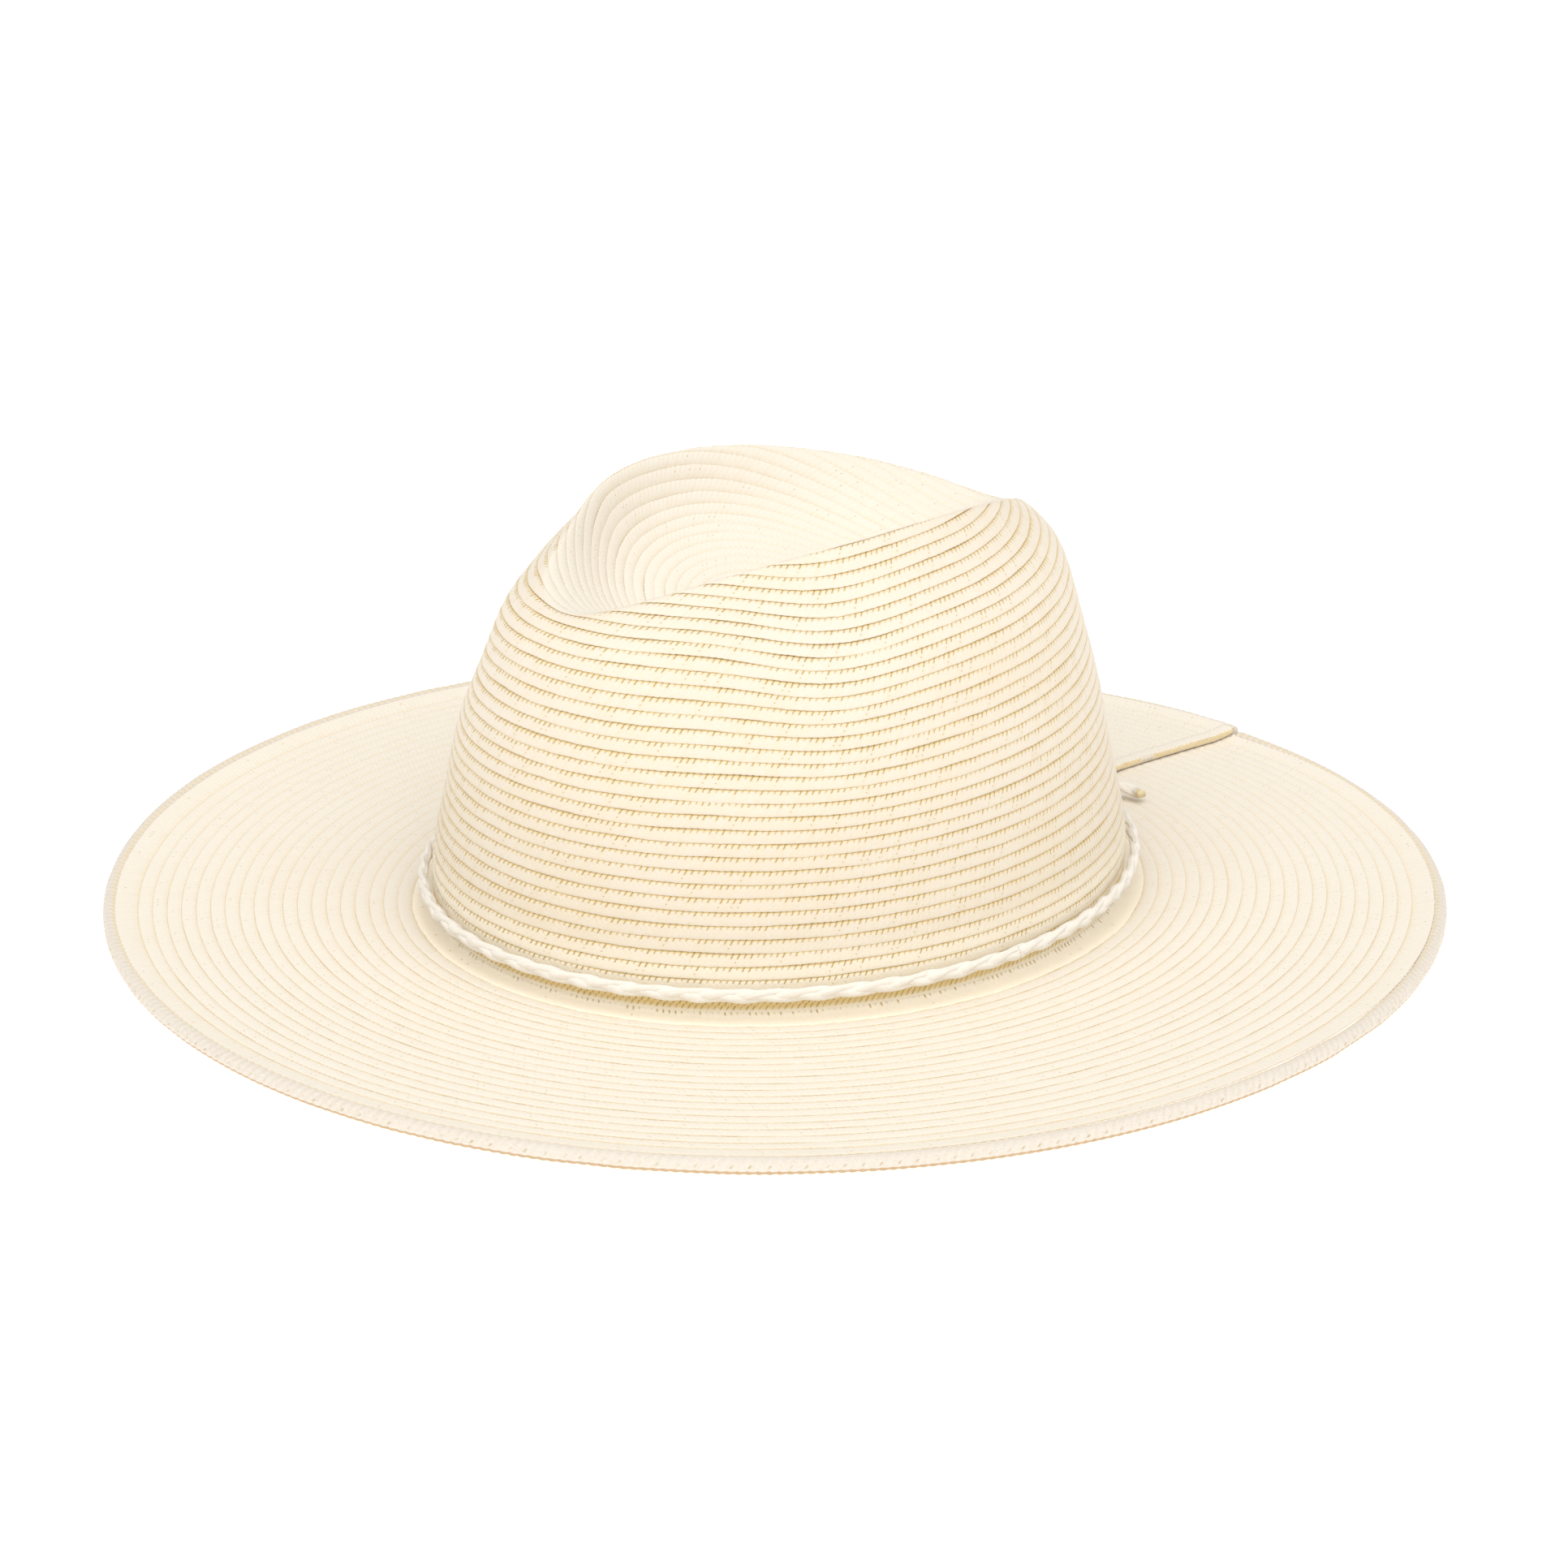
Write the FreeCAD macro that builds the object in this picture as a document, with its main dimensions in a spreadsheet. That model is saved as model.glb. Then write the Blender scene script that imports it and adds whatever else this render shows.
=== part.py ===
import FreeCAD, Part
import math
import os

import Sketcher

# Straw sun hat: a teardrop crown and a wide brim, both sewn from paper-straw braid.
# Millimetres, +Z up, the forehead looks along -Y and the slit in the brim is at +Y.
# z = 0 is the lowest point of the brim's edge. "Break" is the ring where crown and brim meet.

Vec = FreeCAD.Vector
doc = FreeCAD.newDocument("straw_sun_hat")

# ---------------------------------------------------------------- sizes
SIZES = [
    ("crown_width", 170.0), ("crown_length", 200.0), ("braid_thickness", 1.6),
    ("brim_width", 88.4), ("brim_oval", 0.6), ("brim_turn_up", 2.4),
    ("front_rise", 2.1), ("front_rise_angle", -70.0),
    ("edge_diameter", 4.4), ("wire_diameter", 1.4), ("wire_play", 0.15),
    ("top_flap_edge", 0.0), ("under_flap_edge", -10.0), ("flap_step", 1.15), ("flap_reach", 42.0),
    ("edge_gap", 0.8), ("binding_width", 5.0), ("binding_thickness", 0.35), ("binding_gap", 0.1),
    ("binding_start", 9.0),
    ("sweatband_height", 30.0), ("sweatband_thickness", 0.9), ("sweatband_gap", 1.5),
    ("stitch_length", 3.2), ("stitch_diameter", 0.55), ("stitch_count", 62.0), ("stitch_height", 3.0),
    ("label_width", 20.0), ("label_height", 22.0), ("label_thickness", 0.45), ("label_drop", 9.0),
    ("tack_length", 9.0), ("tack_width", 2.4), ("tack_thickness", 0.9),
    ("cord_diameter", 4.1), ("band_height", 9.6), ("band_half_width", 88.1), ("band_half_length", 103.2),
    ("knot_diameter", 9.6), ("knot_wrap_diameter", 3.4),
]
sheet = doc.addObject("Spreadsheet::Sheet", "sizes")
for row, (alias, value) in enumerate(SIZES, start=1):
    sheet.set("A%d" % row, alias.replace("_", " "))
    sheet.set("B%d" % row, repr(value))
    sheet.setAlias("B%d" % row, alias)
doc.recompute()
S = {alias: float(sheet.get(alias)) for alias, _ in SIZES}

HALF_W, HALF_L = S["crown_width"] / 2, S["crown_length"] / 2
THICK = S["braid_thickness"]
EDGE_R = S["edge_diameter"] / 2

# ---------------------------------------------------------------- the crown's shape
# The open crown before it is creased: (share of the head oval, height above the break).
OPEN_CROWN = [(1.0, 0.0), (1.003, 16.3), (0.966, 34.4), (0.925, 55.8), (0.868, 76.0),
              (0.790, 94.8), (0.658, 107.2), (0.451, 129.3), (0.220, 138.3), (0.0, 142.3)]
TIP_SHIFT = -14.2          # the tip of the open crown sits forward of the middle
LEAN_FRONT, OVAL_TOP = -0.037, -0.019
RISE_BACK, RISE_SIDES = 1.4, -1.3
# The crease: the top of the open crown is folded down through a sheet shaped like a shallow valley.
FOLD_FROM = 62.0           # no part of the wall below this height is folded
CREASE = dict(height=107.0, front_curve=0.0013, back_curve=0.0017, right_slope=0.27,
              left_slope=0.137, valley=8.0, softness=1.3, depth=26.0, wall_from=12.0, wall_soft=3.0)
# The two finger dents at the front corners of the crown.
DENT = dict(angle=-48.3, height=93.0, depth=5.8, width=26.8, tall=33.4,
            sag=4.7, sag_angle=-31.8, sag_width=25.6, reach=0.8,
            inner=22.0, inner_soft=6.0, lower_soft=10.0)


def spline_slopes(knots, values, flat_end):
    """Second derivatives of a cubic spline, free at the start and free or flat at the end."""
    n = len(knots)
    a, b, c, d = [0.0] * n, [1.0] * n, [0.0] * n, [0.0] * n
    for i in range(1, n - 1):
        h0, h1 = knots[i] - knots[i - 1], knots[i + 1] - knots[i]
        a[i], b[i], c[i] = h0, 2 * (h0 + h1), h1
        d[i] = 6 * ((values[i + 1] - values[i]) / h1 - (values[i] - values[i - 1]) / h0)
    if flat_end:
        h = knots[-1] - knots[-2]
        a[-1], b[-1], d[-1] = h, 2 * h, -6 * (values[-1] - values[-2]) / h
    for i in range(1, n):
        w = a[i] / b[i - 1]
        b[i] -= w * c[i - 1]
        d[i] -= w * d[i - 1]
    m = [0.0] * n
    m[-1] = d[-1] / b[-1]
    for i in range(n - 2, -1, -1):
        m[i] = (d[i] - c[i] * m[i + 1]) / b[i]
    return m


def spline_at(knots, values, m, t):
    i = max(j for j in range(len(knots) - 1) if knots[j] <= t or j == 0)
    h = knots[i + 1] - knots[i]
    p, q = (knots[i + 1] - t) / h, (t - knots[i]) / h
    return (p * values[i] + q * values[i + 1]
            + ((p ** 3 - p) * m[i] + (q ** 3 - q) * m[i + 1]) * h * h / 6)


SHARES = [k for k, _ in OPEN_CROWN]
HEIGHTS = [z for _, z in OPEN_CROWN]
MEAN_HALF = (HALF_W + HALF_L) / 2
KNOTS = [0.0]
for i in range(1, len(OPEN_CROWN)):
    KNOTS.append(KNOTS[-1] + math.hypot((SHARES[i] - SHARES[i - 1]) * MEAN_HALF, HEIGHTS[i] - HEIGHTS[i - 1]))
MERIDIAN = KNOTS[-1]       # length of the wall from the break to the tip
KNOTS = [k / MERIDIAN for k in KNOTS]
SHARE_M = spline_slopes(KNOTS, SHARES, False)
HEIGHT_M = spline_slopes(KNOTS, HEIGHTS, True)


def crease_curve(y):
    return CREASE["front_curve"] if y < 0 else CREASE["back_curve"]


def crease_height(x, y):
    """The surface that the top is folded down about: a valley that falls to the front and back."""
    steep = math.hypot(x, CREASE["valley"])
    right, left = (steep + x - CREASE["valley"]) / 2, (steep - x - CREASE["valley"]) / 2
    return (CREASE["height"] - crease_curve(y) * y ** 2
            + CREASE["right_slope"] * right + CREASE["left_slope"] * left)


def rising(value, softness):
    """0 well below zero, 1 well above it."""
    return 1 / (1 + math.exp(max(-60.0, min(60.0, -value / softness))))


def finger_dent(x, y, z, side):
    """Where one finger dent moves a point of the crown; side is 1 on the right and -1 on the left."""
    a, s = math.radians(DENT["angle"]), math.radians(DENT["sag_angle"])
    nx, ny = side * HALF_L * math.cos(a), HALF_W * math.sin(a)
    size = math.hypot(nx, ny)
    nx, ny = nx / size, ny / size
    half_w, half_l = HALF_W * DENT["reach"], HALF_L * DENT["reach"]
    dx, dy = x - side * half_w * math.cos(a), y - half_l * math.sin(a)
    along, out = dy * nx - dx * ny, dx * nx + dy * ny
    here = rising(out + DENT["inner"], DENT["inner_soft"])
    push = math.exp(-(along / DENT["width"]) ** 2 - ((z - DENT["height"]) / DENT["tall"]) ** 2) * here
    along_sag = (y - half_l * math.sin(s)) * nx - (x - side * half_w * math.cos(s)) * ny
    high = rising(z - DENT["height"] + DENT["inner"], DENT["lower_soft"])
    drop = math.exp(-(along_sag / DENT["sag_width"]) ** 2) * here * high
    return (x - nx * push * DENT["depth"], y - ny * push * DENT["depth"], z - drop * DENT["sag"])


def crown_point(phi, t):
    """Outer surface of the crown: phi round the head from +X, t from the break (0) to the tip (1)."""
    k = max(spline_at(KNOTS, SHARES, SHARE_M, t), 0.0)
    z = spline_at(KNOTS, HEIGHTS, HEIGHT_M, t)
    w = math.sin(math.pi * t) ** 2
    k *= 1 + (LEAN_FRONT * math.sin(phi) + OVAL_TOP * math.cos(2 * phi)) * w
    z += (RISE_BACK * math.sin(phi) + RISE_SIDES * math.cos(2 * phi)) * w
    x, y = HALF_W * k * math.cos(phi), HALF_L * k * math.sin(phi) + TIP_SHIFT * (1 - k) ** 2
    for side in (1, -1):
        x, y, z = finger_dent(x, y, z, side)
    if z > FOLD_FROM:
        foot = y
        for _ in range(8):
            slope = -2 * crease_curve(foot) * foot
            foot -= 0.7 * ((foot - y) + (crease_height(x, foot) - z) * slope) / (1 + slope * slope)
        slope = -2 * crease_curve(foot) * foot
        size = math.sqrt(1 + slope * slope)
        ny, nz = -slope / size, 1 / size
        above = (y - foot) * ny + (z - crease_height(x, foot)) * nz
        folded = -CREASE["depth"] * math.tanh(math.hypot(above, CREASE["softness"]) / CREASE["depth"])
        keep = rising(-above - CREASE["wall_from"], CREASE["wall_soft"])
        depth = folded * (1 - keep) + above * keep
        y, z = foot + ny * depth, crease_height(x, foot) + nz * depth
    return Vec(x, y, z)


# ---------------------------------------------------------------- the brim's shape
TURN_UP_FADE = 2.0         # how fast the turned-up foot of the brim flattens out
FLAPS_MEET = 6.0           # the flaps are still level with each other at the crown, and apart from here


def brim_reach(phi):
    return S["brim_width"] + S["brim_oval"] * math.cos(2 * phi)


def edge_wave(phi):
    """Height of the brim's edge against the break: gentle waves left by wearing."""
    return (-0.15 - 0.3 * math.cos(phi) - 1.45 * math.sin(phi) + 0.95 * math.cos(2 * phi)
            + 0.7 * math.sin(2 * phi) - 0.3 * math.cos(3 * phi))


def front_rise(phi):
    """The whole brim stands a little higher against the crown at the front than at the back."""
    return S["front_rise"] * (1 + math.cos(phi - math.radians(S["front_rise_angle"]))) / 2


def edge_height(phi):
    return edge_wave(phi) + front_rise(phi)


BREAK_Z = EDGE_R - min(edge_height(math.radians(a)) for a in range(360))


def end_angle(r, x_edge):
    """Angle of the slit's straight edge x = x_edge where it crosses the oval r outside the head."""
    return math.pi / 2 - math.asin(x_edge / (HALF_W + r))


def brim_angle(u, r):
    """u runs from the under flap (0), by the right side and the front, to the top flap (1)."""
    start, end = end_angle(r, S["under_flap_edge"]), end_angle(r, S["top_flap_edge"]) - 2 * math.pi
    return start + (end - start) * u


def flap_lift(u, r):
    """The two flaps part by a braid's thickness where they cross."""
    arc = (HALF_L + r) * 2 * math.pi
    near_end, near_start = (1 - u) * arc / S["flap_reach"], u * arc / S["flap_reach"]
    return S["flap_step"] * (math.exp(-near_end ** 2) - math.exp(-near_start ** 2))


def brim_top(u, r):
    phi = brim_angle(u, r)
    z = edge_wave(phi) * (r / brim_reach(phi)) ** 2 + S["brim_turn_up"] * math.exp(-r / TURN_UP_FADE)
    z += THICK / 2 + front_rise(phi) + flap_lift(u, r) * min(1.0, r / FLAPS_MEET)
    return Vec((HALF_W + r) * math.cos(phi), (HALF_L + r) * math.sin(phi), BREAK_Z + z)


def brim_surface_z(x, y):
    """Top of the brim under a point behind the crown, from whichever flap is uppermost there."""
    r = math.hypot(x, y) - HALF_L
    flap, steps, near = 0.12, 60, 1.6
    nearby = []
    for i in range(steps + 1):
        for u in (flap * i / steps, 1 - flap * i / steps):
            p = brim_top(u, r)
            if abs(p.x - x) < near:
                nearby.append(p.z)
    return max(nearby)


# ---------------------------------------------------------------- surface helpers
def clamped(count):
    knots = count - 2
    return [4] + [1] * (knots - 2) + [4], [float(i) for i in range(knots)]


def looped(count):
    return [1] * (count + 1), [float(i) for i in range(count + 1)]


def grid_surface(poles, loop_v=False):
    """Cubic surface over a grid of control points, its rows closed on themselves where asked."""
    mu, ku = clamped(len(poles))
    mv, kv = looped(len(poles[0])) if loop_v else clamped(len(poles[0]))
    surface = Part.BSplineSurface()
    surface.buildFromPolesMultsKnots(poles, mu, mv, ku, kv, False, loop_v, 3, 3)
    return surface


def closed_solid(faces):
    shell = Part.makeShell(faces)
    shell.sewShape()
    solid = Part.Solid(shell if shell.ShapeType == "Shell" else shell.Shells[0])
    if solid.Volume < 0:
        solid.reverse()
    if not solid.isValid() or not solid.isClosed():
        raise RuntimeError("a sewn piece is not a closed solid")
    return solid


def ruled(curve_a, curve_b):
    return Part.makeRuledSurface(curve_a.toShape(), curve_b.toShape())


def slab(top, bottom):
    """Solid between two open grids of the same size."""
    a, b = grid_surface(top), grid_surface(bottom)
    (u0, u1, v0, v1) = a.bounds()
    faces = [a.toShape(), b.toShape()]
    faces += [ruled(a.uIso(u), b.uIso(u)) for u in (u0, u1)]
    faces += [ruled(a.vIso(v), b.vIso(v)) for v in (v0, v1)]
    return closed_solid(faces)


def round_factor(count):
    """A looped cubic runs this much inside a ring of control points."""
    return 3 / (2 + math.cos(2 * math.pi / count))


def tube(path, radius, hole=0.0, around=12):
    """Solid tube along path, a list of (centre, side, up); hole is the radius of its bore, if any."""
    def skin(r):
        poles = []
        for centre, side, up in path:
            ring = []
            for j in range(around):
                a = 2 * math.pi * j / around
                ring.append(centre + side * (r * round_factor(around) * math.cos(a))
                            + up * (r * round_factor(around) * math.sin(a)))
            poles.append(ring)
        return grid_surface(poles, loop_v=True)
    outer = skin(radius)
    u0, u1 = outer.bounds()[:2]
    if hole:
        inner = skin(hole)
        ends = [ruled(outer.uIso(u), inner.uIso(u)) for u in (u0, u1)]
        return closed_solid([outer.toShape(), inner.toShape()] + ends)
    ends = [Part.Face(Part.Wire(outer.uIso(u).toShape())) for u in (u0, u1)]
    return closed_solid([outer.toShape()] + ends)


def coded(label, shape):
    """A sub-part whose shape comes from the functions above."""
    item = doc.addObject("Part::Feature", label)
    item.Label = label
    item.Shape = shape
    item.Placement = FreeCAD.Placement()
    return item


def plate(name, width, height, thickness):
    """Flat rectangular piece centred on its own origin, sized by three names in the sheet."""
    body = doc.addObject("PartDesign::Body", name)
    body.Label = name
    plan = body.newObject("Sketcher::SketchObject", name + "_plan")
    w, h = S[width] / 2, S[height] / 2
    corners = [Vec(-w, -h, 0), Vec(w, -h, 0), Vec(w, h, 0), Vec(-w, h, 0)]
    for p, q in zip(corners, corners[1:] + corners[:1]):
        plan.addGeometry(Part.LineSegment(p, q), False)
    rule = Sketcher.Constraint
    for i in range(4):
        plan.addConstraint(rule("Coincident", i, 2, (i + 1) % 4, 1))
        plan.addConstraint(rule("Horizontal" if i % 2 == 0 else "Vertical", i))
    wide = plan.addConstraint(rule("DistanceX", 0, 1, 0, 2, 2 * w))
    tall = plan.addConstraint(rule("DistanceY", 1, 1, 1, 2, 2 * h))
    plan.addConstraint(rule("Symmetric", 0, 1, 1, 2, -1, 1))
    plan.setExpression("Constraints[%d]" % wide, "sizes." + width)
    plan.setExpression("Constraints[%d]" % tall, "sizes." + height)
    doc.recompute()
    pad = body.newObject("PartDesign::Pad", name + "_pad")
    pad.Profile = plan
    pad.setExpression("Length", "sizes." + thickness)
    body.Tip = pad
    return body


def lifted(p):
    return Vec(p.x, p.y, p.z + BREAK_Z)


nodes = {}

# ---------------------------------------------------------------- crown
AROUND, UP = 96, 60


def crown_grid(depth):
    """Control points on the crown's outer surface moved inward by depth."""
    rows = []
    step = 0.004
    tip = crown_point(0.0, 1.0)
    for j in range(UP + 1):
        t = j / UP
        row = []
        for i in range(AROUND):
            phi = 2 * math.pi * i / AROUND
            p = crown_point(phi, t)
            if depth:
                if j >= UP - 1:
                    normal = Vec(0, 0, -1)
                else:
                    round_it = crown_point(phi + step, t) - crown_point(phi - step, t)
                    up_it = crown_point(phi, min(t + step, 1.0)) - crown_point(phi, max(t - step, 0.0))
                    normal = round_it.cross(up_it)
                    normal.normalize()
                    normal = normal * -1
                if j == 0:
                    normal.z = 0
                    normal.normalize()
                p = (tip if j == UP else p) + normal * depth
            row.append(lifted(p))
        rows.append(row)
    foot = [Vec(p.x, p.y, BREAK_Z - THICK / 2) for p in rows[0]]
    return [foot] + rows


outer_skin = grid_surface(crown_grid(0.0), loop_v=True)
inner_skin = grid_surface(crown_grid(THICK), loop_v=True)
foot_u = outer_skin.bounds()[0]
foot_ring = ruled(outer_skin.uIso(foot_u), inner_skin.uIso(foot_u))
nodes["crown"] = coded("crown", closed_solid([outer_skin.toShape(), inner_skin.toShape(), foot_ring]))

# ---------------------------------------------------------------- brim, its rolled edge and its wire
BRIM_STEPS = 132
BRIM_ROWS = [0.5, 1.2, 2.0, 3.0, 4.4, 6.5, 10, 16, 24, 33, 42, 51, 60, 68, 75, 80]


def brim_grid(drop):
    grid = []
    for i in range(BRIM_STEPS + 1):
        u = i / BRIM_STEPS
        rows = []
        outer = brim_reach(brim_angle(u, S["brim_width"])) - 2 * EDGE_R - 0.1
        for r in BRIM_ROWS + [outer]:
            p = brim_top(u, r)
            rows.append(Vec(p.x, p.y, p.z - drop * (1 + 0.3 * math.exp(-r / TURN_UP_FADE))))
        grid.append(rows)
    return grid


nodes["brim"] = coded("brim", slab(brim_grid(0.0), brim_grid(THICK)))


def edge_path(steps, start_x, end_x):
    """Centre line of the rolled edge, from the slit round the front and back to the slit."""
    path = []
    reach = S["brim_width"] - EDGE_R
    start, end = end_angle(reach, start_x), end_angle(reach, end_x) - 2 * math.pi

    def centre(phi):
        r = brim_reach(phi) - EDGE_R
        return Vec((HALF_W + r) * math.cos(phi), (HALF_L + r) * math.sin(phi), BREAK_Z + edge_height(phi))
    for i in range(steps + 1):
        phi = start + (end - start) * i / steps
        along = centre(phi - 0.001) - centre(phi + 0.001)
        side = along.cross(Vec(0, 0, 1))
        side.normalize()
        up = side.cross(along)
        up.normalize()
        path.append((centre(phi), side, up))
    return path


top_x, under_x = S["top_flap_edge"], S["top_flap_edge"] + S["edge_gap"]
EDGE_STEPS, WIRE_INSET = 140, 0.6
edge_line = edge_path(EDGE_STEPS, under_x, top_x)
wire_r = S["wire_diameter"] / 2
nodes["brim_edge_braid"] = coded("brim_edge_braid", tube(edge_line, EDGE_R, wire_r + S["wire_play"]))
wire_line = edge_path(EDGE_STEPS, under_x + WIRE_INSET, top_x - WIRE_INSET)
nodes["brim_wire"] = coded("brim_wire", tube(wire_line, wire_r))


# ---------------------------------------------------------------- the slit's bindings and bar tack
BINDING_STEPS, BINDING_TO_EDGE = 12, 1.5


def binding(u_end, x_edge, out):
    """Folded tape along one side of the slit: a C-shaped strip closed over the flap's cut edge."""
    wall, width, gap = S["binding_thickness"], S["binding_width"], S["binding_gap"]
    first, last = S["binding_start"], S["brim_width"] - 2 * EDGE_R - BINDING_TO_EDGE
    wires = []
    for i in range(BINDING_STEPS + 1):
        r = first + (last - first) * i / BINDING_STEPS
        edge = brim_top(u_end, r)
        behind = brim_top(u_end - out * width / (2 * math.pi * (HALF_W + r)), r)
        x, back = edge.x + out * gap, edge.x - out * width
        pts = [(back, behind.z + gap), (x, edge.z + gap), (x, edge.z - THICK - gap),
               (back, behind.z - THICK - gap), (back, behind.z - THICK - gap - wall),
               (x + out * wall, edge.z - THICK - gap - wall), (x + out * wall, edge.z + gap + wall),
               (back, behind.z + gap + wall)]
        corners = [Vec(px, edge.y, pz) for px, pz in pts]
        wires.append(Part.makePolygon(corners + corners[:1]))
    return Part.makeLoft(wires, True, True)


nodes["slit_binding_left"] = coded("slit_binding_left", binding(1.0, top_x, 1))
nodes["slit_binding_right"] = coded("slit_binding_right", binding(0.0, S["under_flap_edge"], -1))

TACK_X, TACK_Y, TACK_SUNK = -4.0, HALF_L + 5.0, 0.25
tack = plate("slit_bar_tack", "tack_length", "tack_width", "tack_thickness")
tack_z = brim_surface_z(TACK_X, TACK_Y) - TACK_SUNK
tack.Placement = FreeCAD.Placement(Vec(TACK_X, TACK_Y, tack_z), FreeCAD.Rotation())
nodes["slit_bar_tack"] = tack


# ---------------------------------------------------------------- sweatband, its stitches and the size label
def inside_point(phi, z, depth):
    """Point inside the crown's wall, depth in from its outer face, at height z above the break."""
    t = max(z, 0.0) / MERIDIAN
    for _ in range(6):
        t += (z - crown_point(phi, t).z) / MERIDIAN
        t = max(t, 0.0)
    p = crown_point(phi, t)
    side = Vec(p.x / HALF_W ** 2, p.y / HALF_L ** 2, 0)
    side.normalize()
    return Vec(p.x, p.y, z) - side * depth, side


BAND_STEPS, BAND_ROWS, BAND_FOOT = 96, 8, -0.4


def sweatband_grid(depth):
    gap = math.asin(S["sweatband_gap"] / 2 / HALF_W)
    grid = []
    for i in range(BAND_STEPS + 1):
        phi = math.pi / 2 + gap + (2 * math.pi - 2 * gap) * i / BAND_STEPS
        rows = []
        for j in range(BAND_ROWS + 1):
            z = BAND_FOOT + S["sweatband_height"] * j / BAND_ROWS
            rows.append(lifted(inside_point(phi, z, depth)[0]))
        grid.append(rows)
    return grid


BAND_AIR = 0.25            # between the sweatband and the crown's wall
BAND_OUT = THICK + BAND_AIR
BAND_IN = BAND_OUT + S["sweatband_thickness"]
nodes["sweatband"] = coded("sweatband", slab(sweatband_grid(BAND_IN), sweatband_grid(BAND_OUT)))

STITCH_SUNK = 0.15         # how deep the thread pulls into the cloth
stitches = []
count = int(S["stitch_count"])
for i in range(count):
    phi = math.pi / 2 + 2 * math.pi * (i + 0.5) / count
    p, side = inside_point(phi, S["stitch_height"], BAND_IN + S["stitch_diameter"] / 2 - STITCH_SUNK)
    along = side.cross(Vec(0, 0, 1))
    start = lifted(p) - along * (S["stitch_length"] / 2)
    stitches.append(Part.makeCylinder(S["stitch_diameter"] / 2, S["stitch_length"], start, along))
nodes["sweatband_stitches"] = coded("sweatband_stitches", Part.makeCompound(stitches))

LABEL_AIR = 0.35           # between the label and the sweatband
label = plate("size_label", "label_width", "label_height", "label_thickness")
middle_z = S["label_drop"] + S["label_height"] / 2
foot, _ = inside_point(math.pi / 2, S["label_drop"], BAND_IN)
head, _ = inside_point(math.pi / 2, S["label_drop"] + S["label_height"] * 0.9, BAND_IN)
corner, _ = inside_point(math.pi / 2 - S["label_width"] / 2 / HALF_W, S["label_drop"], BAND_IN)
lean = math.degrees(math.atan2(foot.y - head.y, head.z - foot.z))
label_place = Vec(0, corner.y - LABEL_AIR - (foot.y - head.y) / 2, middle_z + BREAK_Z)
label.Placement = FreeCAD.Placement(label_place, FreeCAD.Rotation(Vec(1, 0, 0), 90 + lean))
nodes["size_label"] = label

# ---------------------------------------------------------------- hat band: cord ring, knot and two free ends
cord_r = S["cord_diameter"] / 2
band_z = BREAK_Z + S["band_height"]
oval = Part.Ellipse(Vec(0, 0, band_z), S["band_half_length"], S["band_half_width"])
oval.rotate(FreeCAD.Placement(Vec(0, 0, 0), FreeCAD.Rotation(Vec(0, 0, 1), 90)))
ring_path = Part.Wire(oval.toShape())
start = ring_path.Vertexes[0].Point
tangent = oval.tangent(oval.FirstParameter)[0]
profile = Part.Wire(Part.makeCircle(cord_r, start, tangent))
nodes["hat_band"] = coded("hat_band", ring_path.makePipeShell([profile], True, True))

KNOT_OUT = 3.2             # the knot's middle stands this far behind the ring's centre line
knot_y = S["band_half_length"] + KNOT_OUT
knot_core = doc.addObject("Part::Sphere", "knot_core")
knot_core.setExpression("Radius", "sizes.knot_diameter / 2")
knot_core.Placement = FreeCAD.Placement(Vec(0, knot_y, band_z), FreeCAD.Rotation())
knot_wrap = doc.addObject("Part::Torus", "knot_wrap")
knot_wrap.setExpression("Radius1", "sizes.knot_diameter / 2 - 0.6")
knot_wrap.setExpression("Radius2", "sizes.knot_wrap_diameter / 4")
knot_wrap.Placement = FreeCAD.Placement(Vec(0, knot_y, band_z), FreeCAD.Rotation(Vec(0.35, 1, 0.1), 78))
knot = doc.addObject("Part::MultiFuse", "band_knot")
knot.Label = "band_knot"
knot.Shapes = [knot_core, knot_wrap]
nodes["band_knot"] = knot


# Corner points of the free ends: out of the knot, down to the brim and along it.
TAIL_ROUTES = {
    "band_tail_right": [(0.0, 104.3, 14.0), (5.0, 113.5, 12.2), (13.5, 119.0, 8.4), (22.8, 120.5, 7.9)],
    "band_tail_left": [(0.0, 104.3, 14.0), (-5.0, 113.5, 12.2), (-13.5, 119.0, 10.1), (-22.8, 120.5, 9.2)],
}


def cord(route, radius):
    """Round cord along straight runs joined by tangent arcs."""
    edges, here, radii = [], route[0], []
    for p, q, r in zip(route, route[1:], route[2:]):
        u, v = (q - p), (r - q)
        shorter = min(u.Length, v.Length)
        u.normalize()
        v.normalize()
        turn = math.acos(max(-1.0, min(1.0, u.dot(v))))
        cut = 0.45 * shorter
        bend = cut / math.tan(turn / 2)
        radii.append(bend)
        into, away = q - u * cut, q + v * cut
        bisector = v - u
        bisector.normalize()
        centre = q + bisector * math.hypot(bend, cut)
        middle = centre - bisector * bend
        edges.append(Part.makeLine(here, into))
        edges.append(Part.Arc(into, middle, away).toShape())
        here = away
    edges.append(Part.makeLine(here, route[-1]))
    path = Part.Wire(edges)
    first = route[1] - route[0]
    ring = Part.Wire(Part.makeCircle(radius, route[0], first))
    return path.makePipeShell([ring], True, True), radii, path.Length


for name, points in TAIL_ROUTES.items():
    shape, radii, length = cord([Vec(*point) for point in points], cord_r)
    nodes[name] = coded(name, shape)
    print(name, "bend radii", [round(r, 2) for r in radii], "least allowed", round(3 * 2 * cord_r, 2),
          "length", round(length, 2))

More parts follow.
